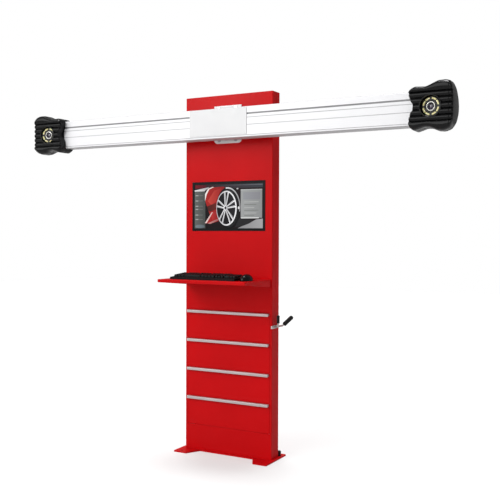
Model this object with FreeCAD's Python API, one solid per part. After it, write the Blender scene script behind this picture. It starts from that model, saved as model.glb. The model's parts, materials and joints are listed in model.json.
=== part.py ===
"""3-D wheel aligner: a slim sheet-metal column with a camera beam, modelled in millimetres.

Frame: origin at the centre of the column's footprint on the floor, +X to the right as the user
faces the screen, +Y from the user towards the rear, +Z up.
"""
import FreeCAD, Part
import math
import os

V = FreeCAD.Vector
X, Y, Z = V(1, 0, 0), V(0, 1, 0), V(0, 0, 1)

# ---------------------------------------------------------------- driving dimensions
COLUMN_W = 600.0        # column width
COLUMN_D = 90.0         # column depth
COLUMN_TOP = 2169.0     # height over all
SHEET = 1.5             # column sheet thickness
BEND_R = 3.0            # outer bend radius of the column's edges
SEAM = 2.0              # open joint between the front and the rear panel, half-way along each side
PLATE_T = 8.0           # base plate thickness

EAR_X = 320.0           # base plate half width over the foot ears
EAR_FRONT = -149.0      # front edge of the ears
EAR_REAR = 110.0        # rear edge of the ears
EAR_IN = 230.0          # inner corner of an ear at its free edge
EAR_ROOT = 184.0        # inner corner of an ear at its root
ANCHOR_X = 275.0        # anchor holes, half spacing
ANCHOR_FRONT = -122.0
ANCHOR_REAR = 92.0
ANCHOR_R = 7.0
JACK_X, JACK_Y = 296.0, 61.0    # levelling screws, on the rear ears
JACK_R = 6.0            # their threaded holes
FOOT_BOLT_X, FOOT_BOLT_Y = 238.0, (-28.0, 14.0)     # bolts between the frame's foot pads and the base plate
PAD_T = 6.0             # foot pad thickness
TUBE, TUBE_WALL = 30.0, 2.0     # square tube of the inner frame

DRAWER_COUNT = 4
DRAWER_PITCH = 177.5
DRAWER_TOP = 869.0      # top edge of the upper drawer front
DRAWER_GAP = 1.5
DRAWER_HALF = 286.0     # drawer front, half width
DRAWER_LIP = 4.5        # depth of its folded edges
TRAY_HALF = 256.0       # drawer tray, half width
TRAY_REAR = 36.0
PULL_HALF = 282.0       # aluminium pull, half length
PULL_H = 16.0
PULL_D = 18.0
RAIL_X = 260.0          # inner face of the fixed runners

MONITOR_W, MONITOR_Z0, MONITOR_Z1 = 507.0, 1353.0, 1650.0
SCREEN_W, SCREEN_H = 480.0, 270.0

DOOR_HALF = 268.0       # rear service door
DOOR_Z0, DOOR_Z1 = 1202.0, 1808.0
DOOR_GAP = 0.3          # between the rear panel and the door
DOOR_PROUD = 2.3        # outer face of the door behind the rear panel
KNUCKLE_R, HINGE_PIN_R = 4.5, 2.5
KNUCKLE_HALF = 10.0     # half height of the door's knuckles
HINGE_HALF = 30.0       # half height of a hinge
DOOR_LAP = 13.0         # overlap of the door on the rear panel

SHELF_HALF = 293.0
SHELF_D = 314.0
SHELF_TOP = 1068.0
SHELF_LIP = 18.0
SHELF_ROOT = 45.0
SHELF_T = 2.0

KEYBOARD_X = (-240.0, 200.0)
KEYBOARD_Y = (-310.0, -150.0)
KEYBOARD_H = (13.0, 26.0)       # height of the case at its front and at its rear
KEY_PITCH = 18.5
KEY_TRAVEL = 3.5
MOUSE_CENTRE = (241.0, -245.0)
MOUSE_SIZE = (62.0, 110.0, 40.0)

BEAM_HALF = 1180.0
BEAM_Y = (-167.0, -77.0)
BEAM_Z = (1893.0, 2070.0)
BEAM_WALL = 3.0
BRACKET_HALF = 94.0
BRACKET_Z = (1878.0, 2104.0)
BRACKET_T = 6.0
BOLT_X = 57.0           # bracket bolts, half spacing
BOLT_Z = (1897.0, 2088.0)
BOLT_R = 5.0
HARNESS_Z = 1960.0      # height at which the camera cable crosses from the column into the beam
HARNESS_R, HARNESS_HOLE_R = 5.0, 11.0
CLEARANCE = 0.25        # bolt holes, on the radius

POD_X = 1280.0          # camera axis in each pod
POD_Z = 1982.0
POD_FRONT = -226.0
POD_REAR_IN = (-58.0, -100.0)     # back of a pod at its middle and its ends, beside the beam
POD_REAR_OUT = (-92.0, -140.0)    # and at its outer end
POD_CAP_X = 1376.0      # joint between a pod's shells and its end cap
POD_SPLIT_Y = -165.0    # joint between its front and its rear shell
POD_WALL = 3.0
LENS_HOLE_R = 53.0
RING_R = 50.0
TOE_IN = 9.0            # degrees that each camera is turned towards the middle
RING_FACE_Y = -203.0    # front of the ring light's carrier before the camera is turned
AIM_Y = -178.0          # aiming pivot of each camera
AIM_R = 5.95            # aiming pivot, in a hole of AIM_HOLE_R
AIM_HOLE_R = 6.0

LATCH_X, LATCH_Z, LATCH_R = 238.0, 1505.0, 9.0          # quarter-turn latch of the rear door
HOOK_Z = (780.0, 797.0)     # bar of the side hook
HOOK_ROD_R = 5.0
PRONG_X, PRONG_Y = 324.0, -11.0         # upright prong
PRONG_TOP = 849.0
ARM_Y = 25.0                            # leaning prong: from its elbow to its tip
ARM_ELBOW = (334.0, ARM_Y, 793.0)
ARM_TIP = (393.0, ARM_Y, 843.0)
SLEEVE_R, SLEEVE_TOP = 9.5, 851.0       # rubber sleeve of the upright prong
SLEEVE_L = 40.0
GRIP_R = 11.0                           # and of the leaning one
INLET_Z = 85.0          # middle of the power inlet and its switch
ROCKER_X = -182.0
ROCKER_TILT = 9.0       # degrees

FRONT = -COLUMN_D / 2
REAR = COLUMN_D / 2
HALF = COLUMN_W / 2
INSIDE = HALF - SHEET
HINGE_X, HINGE_Y = -DOOR_HALF - 6.0, REAR + 4.8         # rear door's hinge line
AIM_PIVOT = (POD_X + (AIM_Y - RING_FACE_Y) * math.sin(math.radians(TOE_IN)), AIM_Y)

os.makedirs("parts", exist_ok=True)


# ---------------------------------------------------------------- helpers
def save(name, *shapes):
    """Write one node: a single solid, or a group of separate ones."""
    shape = shapes[0] if len(shapes) == 1 else Part.makeCompound(list(shapes))
    shape.exportStep("parts/%s.step" % name)


def box(x, y, z):
    """Box from three (low, high) pairs."""
    (x0, x1), (y0, y1), (z0, z1) = x, y, z
    return Part.makeBox(x1 - x0, y1 - y0, z1 - z0, V(x0, y0, z0))


def cylinder(radius, start, end):
    axis = end - start
    return Part.makeCylinder(radius, axis.Length, start, axis)


def prism(points, along):
    """Extrude the closed polygon through points by the vector along."""
    wire = Part.makePolygon(list(points) + [points[0]])
    return Part.Face(wire).extrude(along)


def mirror_x(shape):
    return shape.mirror(V(0, 0, 0), X)


def both_sides(shape):
    return [shape, mirror_x(shape)]


def union(shapes):
    shapes = list(shapes)
    return shapes[0].multiFuse(shapes[1:]).removeSplitter()


def edges_along(shape, axis, test):
    """Straight edges parallel to axis whose middle passes test."""
    found = []
    for edge in shape.Edges:
        if isinstance(edge.Curve, Part.Line):
            direction = edge.tangentAt(edge.FirstParameter)
            middle = edge.valueAt((edge.FirstParameter + edge.LastParameter) / 2)
            if abs(direction.dot(axis)) > 0.999 and test(middle):
                found.append(edge)
    return found


def hex_bolt(seat, direction, length, radius=BOLT_R, across=17.0, head=6.5):
    """Hexagon bolt and washer: seat is on the clamped face, direction points out of it."""
    washer = cylinder(across * 0.62, seat, seat + direction * 1.6)
    side = direction.cross(Z if abs(direction.z) < 0.5 else X)
    other = direction.cross(side)
    corner = across / math.sqrt(3)
    points = []
    for step in range(6):
        angle = math.radians(60 * step)
        offset = side * (corner * math.cos(angle)) + other * (corner * math.sin(angle))
        points.append(seat + direction * 1.6 + offset)
    shank = cylinder(radius, seat - direction * length, seat)
    return union([washer, prism(points, direction * head), shank])


def pan_screw(seat, direction, length=8.0, radius=2.5):
    """Pan-head screw, with a hexagon socket in its head."""
    head = cylinder(radius * 1.9, seat, seat + direction * 2.8)
    socket = cylinder(radius * 0.7, seat + direction * 1.2, seat + direction * 3.0)
    shank = cylinder(radius, seat - direction * length, seat)
    return head.cut(socket).fuse(shank).removeSplitter()


def bracket_bolt_spots():
    return [(x, z) for x in (-BOLT_X, BOLT_X) for z in BOLT_Z]


def bracket_bolt_holes(y_front, y_rear):
    return [cylinder(BOLT_R + CLEARANCE, V(x, y_front, z), V(x, y_rear, z)) for x, z in bracket_bolt_spots()]


def foot_bolt_holes(side):
    x, top = side * FOOT_BOLT_X, PLATE_T + PAD_T + 1
    return [cylinder(BOLT_R + CLEARANCE, V(x, y, -1), V(x, y, top)) for y in FOOT_BOLT_Y]


# ---------------------------------------------------------------- base
def base_plate():
    right = [(EAR_ROOT, FRONT - 18), (EAR_IN, EAR_FRONT), (EAR_X, EAR_FRONT),
             (EAR_X, EAR_REAR), (EAR_IN, EAR_REAR), (EAR_ROOT, REAR + 15)]
    left = [(-x, y) for x, y in reversed(right)]
    plate = prism([V(x, y, 0) for x, y in right + left], Z * PLATE_T)
    corners = edges_along(plate, Z, lambda p: abs(p.x) > EAR_X - 1)
    plate = plate.makeFillet(6.0, corners)
    holes = []
    for side in (-1, 1):
        for y in (ANCHOR_FRONT, ANCHOR_REAR):
            holes.append(cylinder(ANCHOR_R, V(side * ANCHOR_X, y, -1), V(side * ANCHOR_X, y, PLATE_T + 1)))
        holes.append(cylinder(JACK_R, V(side * JACK_X, JACK_Y, -1), V(side * JACK_X, JACK_Y, PLATE_T + 1)))
        holes += foot_bolt_holes(side)
    return plate.cut(Part.makeCompound(holes))


def levelling_screw():
    """Jack screw of the right ear: threaded shank, hexagon flange and fluted black head."""
    foot = V(JACK_X, JACK_Y, 0.4)
    shank = cylinder(JACK_R - 0.05, foot, V(JACK_X, JACK_Y, 14))
    nut = hex_bolt(V(JACK_X, JACK_Y, PLATE_T + 0.3), Z, 0.1, 2.0, 19.0, 8.0)
    head = cylinder(13.0, V(JACK_X, JACK_Y, 19), V(JACK_X, JACK_Y, 38))
    head = head.makeChamfer(2.0, [e for e in head.Edges if isinstance(e.Curve, Part.Circle)])
    flutes = []
    for step in range(10):
        angle = math.radians(36 * step)
        x, y = JACK_X + 14.2 * math.cos(angle), JACK_Y + 14.2 * math.sin(angle)
        flutes.append(cylinder(2.6, V(x, y, 15), V(x, y, 40)))
    neck = cylinder(8.0, V(JACK_X, JACK_Y, 12), V(JACK_X, JACK_Y, 20))
    return union([shank, nut, neck, head.cut(Part.makeCompound(flutes))])


# ---------------------------------------------------------------- column
def inner_frame():
    """Welded frame of square tube, standing on two foot pads."""
    y_post = (-22.0, TUBE - 22.0)
    x_post = (INSIDE - TUBE, INSIDE)
    z_post = (PLATE_T + PAD_T, 2150.0)
    post = box(x_post, y_post, z_post)
    bore = box((x_post[0] + TUBE_WALL, x_post[1] - TUBE_WALL), (y_post[0] + TUBE_WALL, y_post[1] - TUBE_WALL),
               (z_post[0] - 1, z_post[1] + 1))
    pad = box((FOOT_BOLT_X - 24, INSIDE), (-40.0, 26.0), (PLATE_T, PLATE_T + PAD_T))
    pieces = both_sides(union([post.cut(bore), pad.cut(Part.makeCompound(foot_bolt_holes(1)))]))
    y_bar = (FRONT + SHEET, FRONT + SHEET + TUBE)
    for z in (895.0, 1118.0, 1690.0, BOLT_Z[0] - TUBE / 2, BOLT_Z[1] - TUBE / 2):
        bar = box((-x_post[0], x_post[0]), y_bar, (z, z + TUBE))
        hollow = box((-x_post[0] - 1, x_post[0] + 1), (y_bar[0] + TUBE_WALL, y_bar[1] - TUBE_WALL),
                     (z + TUBE_WALL, z + TUBE - TUBE_WALL))
        pieces.append(bar.cut(hollow))
    return union(pieces).cut(Part.makeCompound(bracket_bolt_holes(FRONT, 0)))


def folded_pan(y_face, y_edge, z0, z1):
    """C-shaped pan over the column's full width: a face at y_face and two flanges up to y_edge."""
    low, high = min(y_face, y_edge), max(y_face, y_edge)
    outer = box((-HALF, HALF), (low, high), (z0, z1))
    outer = outer.makeFillet(BEND_R, edges_along(outer, Z, lambda p: abs(p.y - y_face) < 0.1))
    step = SHEET if y_face < y_edge else -SHEET
    inner_face = y_face + step
    beyond = y_edge + step
    low, high = min(inner_face, beyond), max(inner_face, beyond)
    inner = box((-INSIDE, INSIDE), (low, high), (z0 - 1, z1 + 1))
    inner = inner.makeFillet(BEND_R - SHEET, edges_along(inner, Z, lambda p: abs(p.y - inner_face) < 0.1))
    return outer.cut(inner)


def shelf_screw_spots():
    return [V(x, FRONT - SHELF_T, SHELF_TOP - 30) for x in (-240, -80, 80, 240)]


def front_panel():
    panel = folded_pan(FRONT, 0.0, PLATE_T, COLUMN_TOP - SHEET)
    drawers_bottom = DRAWER_TOP - DRAWER_COUNT * DRAWER_PITCH
    through = (FRONT - 5, FRONT + 5)
    cuts = [
        box((-MONITOR_W / 2 - 1, MONITOR_W / 2 + 1), through, (MONITOR_Z0 - 1, MONITOR_Z1 + 1)),
        box((-DRAWER_HALF - DRAWER_GAP, DRAWER_HALF + DRAWER_GAP), through,
            (drawers_bottom, DRAWER_TOP + DRAWER_GAP)),
        cylinder(HARNESS_HOLE_R, V(0, FRONT - 5, HARNESS_Z), V(0, FRONT + 5, HARNESS_Z)),
    ]
    cuts += bracket_bolt_holes(FRONT - 5, FRONT + 5)
    for spot in shelf_screw_spots():
        cuts.append(cylinder(2.75, spot, spot + Y * 10))
    return panel.cut(Part.makeCompound(cuts))


def rear_panel():
    panel = folded_pan(REAR, SEAM, PLATE_T, COLUMN_TOP - SHEET)
    through = (REAR - 5, REAR + 5)
    cuts = [box((-DOOR_HALF + DOOR_LAP, DOOR_HALF - DOOR_LAP), through,
                (DOOR_Z0 + DOOR_LAP, DOOR_Z1 - DOOR_LAP)),
            box((-232.0, -168.0), through, (71.0, 99.0))]
    for row in range(6):
        for x in (-150.0, 150.0):
            z = 960.0 + 16 * row
            cuts.append(box((x - 55, x + 55), through, (z, z + 5)))
            cuts.append(box((x - 55, x + 55), through, (z + 970, z + 975)))
    return panel.cut(Part.makeCompound(cuts))


def top_cap():
    plate = box((-HALF, HALF), (FRONT, REAR), (COLUMN_TOP - SHEET, COLUMN_TOP))
    plate = plate.makeFillet(BEND_R, edges_along(plate, Z, lambda p: True))
    low = COLUMN_TOP - SHEET - 16
    skirt = box((-INSIDE + 2, INSIDE - 2), (FRONT + SHEET + 0.2, REAR - SHEET - 0.2), (low, COLUMN_TOP - SHEET))
    core = box((-INSIDE + 4, INSIDE - 4), (FRONT + 3.5, REAR - 3.5), (low - 1, COLUMN_TOP - SHEET + 1))
    return union([plate, skirt.cut(core)])


def rear_door():
    """Flat door that laps the rear panel, with two hinge knuckles on its left edge."""
    back, face = REAR + DOOR_GAP, REAR + DOOR_PROUD
    door = box((-DOOR_HALF, DOOR_HALF), (back, face), (DOOR_Z0, DOOR_Z1))
    door = door.makeFillet(6.0, edges_along(door, Y, lambda p: True))
    for z in hinge_heights():
        low, high = z - KNUCKLE_HALF, z + KNUCKLE_HALF
        knuckle = cylinder(KNUCKLE_R, V(HINGE_X, HINGE_Y, low), V(HINGE_X, HINGE_Y, high))
        web = box((HINGE_X, -DOOR_HALF + 3), (back, face), (low, high))
        door = door.fuse(knuckle).fuse(web)
        door = door.cut(cylinder(HINGE_PIN_R + 0.05, V(HINGE_X, HINGE_Y, low - 1), V(HINGE_X, HINGE_Y, high + 1)))
    return door.cut(cylinder(LATCH_R + 0.05, V(LATCH_X, REAR, LATCH_Z), V(LATCH_X, face + 1, LATCH_Z)))


def hinge_heights():
    return (DOOR_Z0 + 90, DOOR_Z1 - 90)


def door_hinges():
    """Fixed leaves, each with two knuckles and the pin."""
    hinges = []
    middle = KNUCKLE_HALF + 0.3
    for z in hinge_heights():
        low, high = z - HINGE_HALF, z + HINGE_HALF
        leaf = box((-HALF + 4, HINGE_X), (REAR, REAR + SHEET), (low, high))
        knuckles = cylinder(KNUCKLE_R, V(HINGE_X, HINGE_Y, low), V(HINGE_X, HINGE_Y, high))
        notch = box((HINGE_X - 6, HINGE_X + 6), (REAR, REAR + 10), (z - middle, z + middle))
        pin = cylinder(HINGE_PIN_R, V(HINGE_X, HINGE_Y, low), V(HINGE_X, HINGE_Y, high))
        hinges.append(leaf.fuse(knuckles).cut(notch).fuse(pin))
    return hinges


def door_latch():
    """Quarter-turn latch: slotted head, barrel and cam. The cam stands upright, unlocked."""
    face = REAR + DOOR_PROUD
    centre = V(LATCH_X, 0, LATCH_Z)
    head = cylinder(13.0, centre + Y * (face + 0.2), centre + Y * (face + 4))
    slot = box((LATCH_X - 1.2, LATCH_X + 1.2), (face + 2.2, face + 5), (LATCH_Z - 9, LATCH_Z + 9))
    barrel = cylinder(LATCH_R, centre + Y * 38.5, centre + Y * (face + 1))
    cam = box((LATCH_X - 7, LATCH_X + 7), (39.5, 42.0), (LATCH_Z - 7, LATCH_Z + 34))
    return union([head.cut(slot), barrel, cam])


# ---------------------------------------------------------------- shelf and what lies on it
def shelf():
    """Folded tray: its side cheeks deepen from the front lip to the column."""
    front = FRONT - SHELF_D

    def wedge(inset, top, drop):
        points = [V(-SHELF_HALF + inset, front + inset, top), V(-SHELF_HALF + inset, FRONT - inset, top),
                  V(-SHELF_HALF + inset, FRONT - inset, SHELF_TOP - SHELF_ROOT - drop),
                  V(-SHELF_HALF + inset, front + inset, SHELF_TOP - SHELF_LIP - drop)]
        return prism(points, X * (2 * (SHELF_HALF - inset)))

    outer = wedge(0, SHELF_TOP, 0)
    rims = edges_along(outer, X, lambda p: p.z > SHELF_TOP - 1 and p.y < front + 1)
    rims += edges_along(outer, Y, lambda p: p.z > SHELF_TOP - 1)
    rims += edges_along(outer, Z, lambda p: p.y < front + 1)
    tray = outer.makeFillet(3.0, rims).cut(wedge(SHELF_T, SHELF_TOP - SHELF_T, 60))
    for spot in shelf_screw_spots():
        tray = tray.cut(cylinder(2.75, spot - Y * 3, spot + Y * 5))
    return tray


def keyboard_slope():
    (y0, y1), (h0, h1) = KEYBOARD_Y, KEYBOARD_H
    return math.degrees(math.atan2(h1 - h0, y1 - y0))


def tilt_keyboard(shape):
    """Turn a shape that was built level with the keyboard's front edge onto the case's slope."""
    return shape.rotate(V(0, KEYBOARD_Y[0], SHELF_TOP + KEYBOARD_H[0]), X, keyboard_slope())


KEY_BASE = SHELF_TOP + KEYBOARD_H[0]
KEY_ROWS_Y0 = KEYBOARD_Y[0] + 26.0
KEY_ROWS_X0 = KEYBOARD_X[0] + 12.0
SPACE_X = (KEY_ROWS_X0 + 3.75 * KEY_PITCH, KEY_ROWS_X0 + 10.0 * KEY_PITCH)
SPACE_STEM = 20.0       # half width of the space bar's stem


def key(x0, x1, y0):
    """One key cap with a tapered top, standing on its stem."""
    gap, taper, lift, height = 1.0, 2.0, 4.0, 7.5
    bottom = Part.makePolygon([V(x0 + gap, y0 + gap, KEY_BASE + lift), V(x1 - gap, y0 + gap, KEY_BASE + lift),
                               V(x1 - gap, y0 + KEY_PITCH - gap, KEY_BASE + lift),
                               V(x0 + gap, y0 + KEY_PITCH - gap, KEY_BASE + lift),
                               V(x0 + gap, y0 + gap, KEY_BASE + lift)])
    x2, x3, y2, y3 = x0 + gap + taper, x1 - gap - taper, y0 + gap + taper, y0 + KEY_PITCH - gap - taper / 2
    top = Part.makePolygon([V(x2, y2, KEY_BASE + height + lift), V(x3, y2, KEY_BASE + height + lift),
                            V(x3, y3, KEY_BASE + height + lift), V(x2, y3, KEY_BASE + height + lift),
                            V(x2, y2, KEY_BASE + height + lift)])
    cap = Part.makeLoft([bottom, top], True, True)
    middle_x, middle_y = (x0 + x1) / 2, y0 + KEY_PITCH / 2
    stem = box((middle_x - 2.5, middle_x + 2.5), (middle_y - 2.5, middle_y + 2.5), (KEY_BASE, KEY_BASE + lift + 1))
    return cap.fuse(stem)


def key_rows():
    """Widths of the caps in key pitches for each row, from the front row to the function row.

    A negative number is a gap.
    """
    cluster, pad = [-0.25, 1, 1, 1, -0.25], [1, 1, 1, 1]
    return [
        [1.25, 1.25, 1.25, -6.25, 1.25, 1.25, 1.25, 1.25] + cluster + [2, 1, 1],
        [2.25] + [1] * 10 + [2.75] + [-1.25, 1, -1.25] + pad,
        [1.75] + [1] * 11 + [2.25] + [-3.5] + pad,
        [1.5] + [1] * 12 + [1.5] + cluster + pad,
        [1] * 13 + [2] + cluster + pad,
        [1, -1] + [1] * 4 + [-0.5] + [1] * 4 + [-0.5] + [1] * 4 + cluster,
    ]


def keyboard_case():
    (x0, x1), (y0, y1), (h0, h1) = KEYBOARD_X, KEYBOARD_Y, KEYBOARD_H
    points = [V(x0, y0, SHELF_TOP + 0.3), V(x0, y1, SHELF_TOP + 0.3),
              V(x0, y1, SHELF_TOP + h1), V(x0, y0, SHELF_TOP + h0)]
    case = prism(points, X * (x1 - x0))
    case = case.makeFillet(4.0, edges_along(case, Z, lambda p: True))
    hollow = prism([p + V(2.5, 0, 0) for p in (V(x0, y0 + 3, SHELF_TOP - 1), V(x0, y1 - 3, SHELF_TOP - 1),
                                               V(x0, y1 - 3, SHELF_TOP + h1 - 3),
                                               V(x0, y0 + 3, SHELF_TOP + h0 - 3))], X * (x1 - x0 - 5))
    case = case.cut(hollow)
    middle = sum(SPACE_X) / 2
    space_well = box((middle - SPACE_STEM, middle + SPACE_STEM), (KEY_ROWS_Y0 + 6, KEY_ROWS_Y0 + 13),
                     (KEY_BASE - 10, KEY_BASE + 10))
    return case.cut(tilt_keyboard(space_well))


def keyboard_keys():
    keys = []
    for row, widths in enumerate(key_rows()):
        x = KEY_ROWS_X0
        y = KEY_ROWS_Y0 + row * KEY_PITCH + (5 if row == 5 else 0)
        for width in widths:
            span = abs(width) * KEY_PITCH
            if width > 0:
                keys.append(tilt_keyboard(key(x, x + span, y)))
            x += span
    return keys


def space_bar():
    """Long cap on a stem that slides in the case's well."""
    middle = sum(SPACE_X) / 2
    cap = key(SPACE_X[0], SPACE_X[1], KEY_ROWS_Y0)
    cap = cap.cut(box(SPACE_X, (KEY_ROWS_Y0, KEY_ROWS_Y0 + KEY_PITCH), (KEY_BASE - 5, KEY_BASE + 4)))
    stem = box((middle - SPACE_STEM + 0.5, middle + SPACE_STEM - 0.5), (KEY_ROWS_Y0 + 6.5, KEY_ROWS_Y0 + 12.5),
               (KEY_BASE - 4, KEY_BASE + 5))
    return tilt_keyboard(cap.fuse(stem))


def mouse_dome(shrink):
    """Upper half of an ellipsoid, higher towards the hand, smaller by shrink all round."""
    width, length, height = MOUSE_SIZE
    dome = Part.makeSphere(1.0)
    scale = FreeCAD.Matrix()
    scale.scale(width / 2 - shrink, length / 2 - shrink, height - 4 - shrink)
    dome = dome.transformGeometry(scale)
    dome.translate(V(MOUSE_CENTRE[0], MOUSE_CENTRE[1], SHELF_TOP + 4))
    return dome


def mouse_parts():
    """Shell, left and right button, and wheel. The buttons are the far part of the dome."""
    width, length, height = MOUSE_SIZE
    cx, cy = MOUSE_CENTRE
    dome = mouse_dome(0).common(box((cx - 50, cx + 50), (cy - 80, cy + 80), (SHELF_TOP + 0.3, SHELF_TOP + 60)))
    inner = mouse_dome(2.5).common(box((cx - 50, cx + 50), (cy - 80, cy + 80), (SHELF_TOP + 4, SHELF_TOP + 60)))
    hollow = dome.cut(inner)
    button_zone = box((cx - 50, cx + 50), (cy + 8, cy + 80), (SHELF_TOP + 14, SHELF_TOP + 60))
    buttons = hollow.common(button_zone)
    shell = hollow.cut(button_zone)
    wheel_y, wheel_z, wheel_r = cy + 28, SHELF_TOP + 26.5, 11.0
    well = box((cx - 5, cx + 5), (cy + 16, cy + 46), (SHELF_TOP + 14, SHELF_TOP + 60))
    left = buttons.common(box((cx - 50, cx - 0.4), (cy + 8.6, cy + 80), (SHELF_TOP + 15.4, SHELF_TOP + 60)))
    right = buttons.common(box((cx + 0.4, cx + 50), (cy + 8.6, cy + 80), (SHELF_TOP + 15.4, SHELF_TOP + 60)))
    wheel = cylinder(wheel_r, V(cx - 3.5, wheel_y, wheel_z), V(cx + 3.5, wheel_y, wheel_z))
    wheel = wheel.makeFillet(1.5, [e for e in wheel.Edges if isinstance(e.Curve, Part.Circle)])
    axle = cylinder(1.5, V(cx - 7.3, wheel_y, wheel_z), V(cx + 7.3, wheel_y, wheel_z))
    posts = []
    for side in (-1, 1):
        low, high = sorted((cx + side * 5, cx + side * 7.5))
        posts.append(box((low, high), (wheel_y - 2.5, wheel_y + 2.5), (SHELF_TOP + 1, wheel_z + 2.4)))
    hole = cylinder(1.55, V(cx - 8, wheel_y, wheel_z), V(cx + 8, wheel_y, wheel_z))
    base = mouse_dome(1.5).common(box((cx - 50, cx + 50), (cy - 80, cy + 80), (SHELF_TOP + 0.3, SHELF_TOP + 4)))
    shell = union([shell, base] + posts).cut(hole)
    return shell, left.cut(well), right.cut(well), wheel.fuse(axle)


# ---------------------------------------------------------------- monitor and computer
def monitor_parts():
    middle = (MONITOR_Z0 + MONITOR_Z1) / 2
    half_w, half_h = MONITOR_W / 2, (MONITOR_Z1 - MONITOR_Z0) / 2
    outer = box((-half_w, half_w), (FRONT - 1.0, FRONT + 11), (middle - half_h, middle + half_h))
    outer = outer.makeFillet(3.0, edges_along(outer, Y, lambda p: True))
    window = box((-SCREEN_W / 2 + 2, SCREEN_W / 2 - 2), (FRONT - 5, FRONT + 15),
                 (middle - SCREEN_H / 2 + 2, middle + SCREEN_H / 2 - 2))
    seat = box((-SCREEN_W / 2 - 0.5, SCREEN_W / 2 + 0.5), (FRONT + 0.8, FRONT + 15),
               (middle - SCREEN_H / 2 - 0.5, middle + SCREEN_H / 2 + 0.5))
    bezel = outer.cut(window).cut(seat)
    screen = box((-SCREEN_W / 2, SCREEN_W / 2), (FRONT + 0.8, FRONT + 10.8),
                 (middle - SCREEN_H / 2, middle + SCREEN_H / 2))
    back = box((-half_w + 6, half_w - 6), (FRONT + 11, FRONT + 20), (MONITOR_Z0 + 6, MONITOR_Z1 - 6))
    hump = box((-150, 150), (FRONT + 20, FRONT + 29), (middle - 90, middle + 90))
    back = union([back, hump])
    return bezel, screen, back


def monitor_strap():
    """Flat strap between the uprights that holds the monitor and the computer."""
    z = ((MONITOR_Z0 + MONITOR_Z1) / 2 - 50, (MONITOR_Z0 + MONITOR_Z1) / 2 + 50)
    reach = INSIDE - 30.0
    return box((-reach, reach), (FRONT + 29, FRONT + 32), z)


def computer():
    middle = (MONITOR_Z0 + MONITOR_Z1) / 2
    body = box((-95, 95), (FRONT + 32, REAR - 8), (middle - 100, middle + 100))
    body = body.makeFillet(4.0, edges_along(body, Y, lambda p: True))
    ports = [box((x, x + 16), (REAR - 30, REAR - 20), (middle + 90, middle + 110)) for x in (-70, -46, -22, 24)]
    return body.cut(Part.makeCompound(ports))


# ---------------------------------------------------------------- drawers
def drawer_bottom(index):
    """Lower edge of a drawer front; drawer 1 is the upper one."""
    return DRAWER_TOP - index * DRAWER_PITCH + DRAWER_GAP


def drawer_parts(index):
    low, high = drawer_bottom(index), drawer_bottom(index) + DRAWER_PITCH - DRAWER_GAP
    pan = box((-DRAWER_HALF, DRAWER_HALF), (FRONT, FRONT + DRAWER_LIP), (low, high))
    inner = box((-DRAWER_HALF + SHEET, DRAWER_HALF - SHEET), (FRONT + SHEET, FRONT + DRAWER_LIP + 1),
                (low + SHEET, high - SHEET))
    front = pan.cut(inner)

    pull_top = high - 2.0
    profile = [V(-PULL_HALF, y, z) for y, z in (
        (FRONT, pull_top), (FRONT - PULL_D, pull_top), (FRONT - PULL_D, pull_top - PULL_H),
        (FRONT - PULL_D + 2.2, pull_top - PULL_H), (FRONT - PULL_D + 2.2, pull_top - 2.2),
        (FRONT - 2.0, pull_top - 2.2), (FRONT - 2.0, pull_top - PULL_H + 3), (FRONT, pull_top - PULL_H + 3))]
    pull = prism(profile, X * (2 * PULL_HALF))
    outer_corner = edges_along(pull, X, lambda p: p.y < FRONT - PULL_D + 0.1 and p.z > pull_top - 0.1)
    pull = pull.makeFillet(3.0, outer_corner)

    tray_low, tray_high = low + 8, low + 150
    y_tray = (FRONT + SHEET, TRAY_REAR)
    tray = box((-TRAY_HALF, TRAY_HALF), y_tray, (tray_low, tray_high))
    tray = tray.cut(box((-TRAY_HALF + SHEET, TRAY_HALF - SHEET), (y_tray[0] + SHEET, TRAY_REAR - SHEET),
                        (tray_low + SHEET, tray_high + 1)))
    rail_z = (low + 78 - 5.9, low + 78 + 5.9)
    rails = both_sides(box((TRAY_HALF, RAIL_X + 6.2), (FRONT + 12, TRAY_REAR), rail_z))
    return front, pull, union([tray] + rails)


def drawer_runners():
    """C-section runners on the uprights, one on each side of each drawer."""
    runners = []
    for index in range(1, DRAWER_COUNT + 1):
        middle = drawer_bottom(index) + 78
        outer = box((RAIL_X, INSIDE - 30), (FRONT + 12, TRAY_REAR + 4), (middle - 8, middle + 8))
        channel = box((RAIL_X - 1, RAIL_X + 6.7), (FRONT + 10, TRAY_REAR + 1), (middle - 6.3, middle + 6.3))
        runners += both_sides(outer.cut(channel))
    return runners


# ---------------------------------------------------------------- beam
def beam_bracket():
    """White plate on the column's front, with a raised box that the beam is fixed to."""
    plate = box((-BRACKET_HALF, BRACKET_HALF), (FRONT - BRACKET_T, FRONT), BRACKET_Z)
    plate = plate.makeFillet(22.0, edges_along(plate, Y, lambda p: p.z < BRACKET_Z[0] + 1))
    step_y = (BEAM_Y[1], FRONT - BRACKET_T)
    step = box((-74, 74), step_y, (BEAM_Z[0] + 20, BEAM_Z[1] - 4))
    hollow = box((-70, 70), (step_y[0] + 4, step_y[1] + 1), (BEAM_Z[0] + 24, BEAM_Z[1] - 8))
    bracket = union([plate, step.cut(hollow)])
    cable_hole = cylinder(HARNESS_HOLE_R, V(0, FRONT - 40, HARNESS_Z), V(0, FRONT + 5, HARNESS_Z))
    return bracket.cut(Part.makeCompound([cable_hole] + bracket_bolt_holes(FRONT - 10, FRONT + 5)))


def frame_bolts():
    """Bracket bolts through the front panel, and the bolts that hold the frame's foot pads."""
    bracket_bolts = [hex_bolt(V(x, FRONT - BRACKET_T, z), -Y, 40.0) for x, z in bracket_bolt_spots()]
    foot_bolts = [hex_bolt(V(side * FOOT_BOLT_X, y, PLATE_T + PAD_T), Z, 13.0)
                  for side in (-1, 1) for y in FOOT_BOLT_Y]
    return bracket_bolts + foot_bolts


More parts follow.
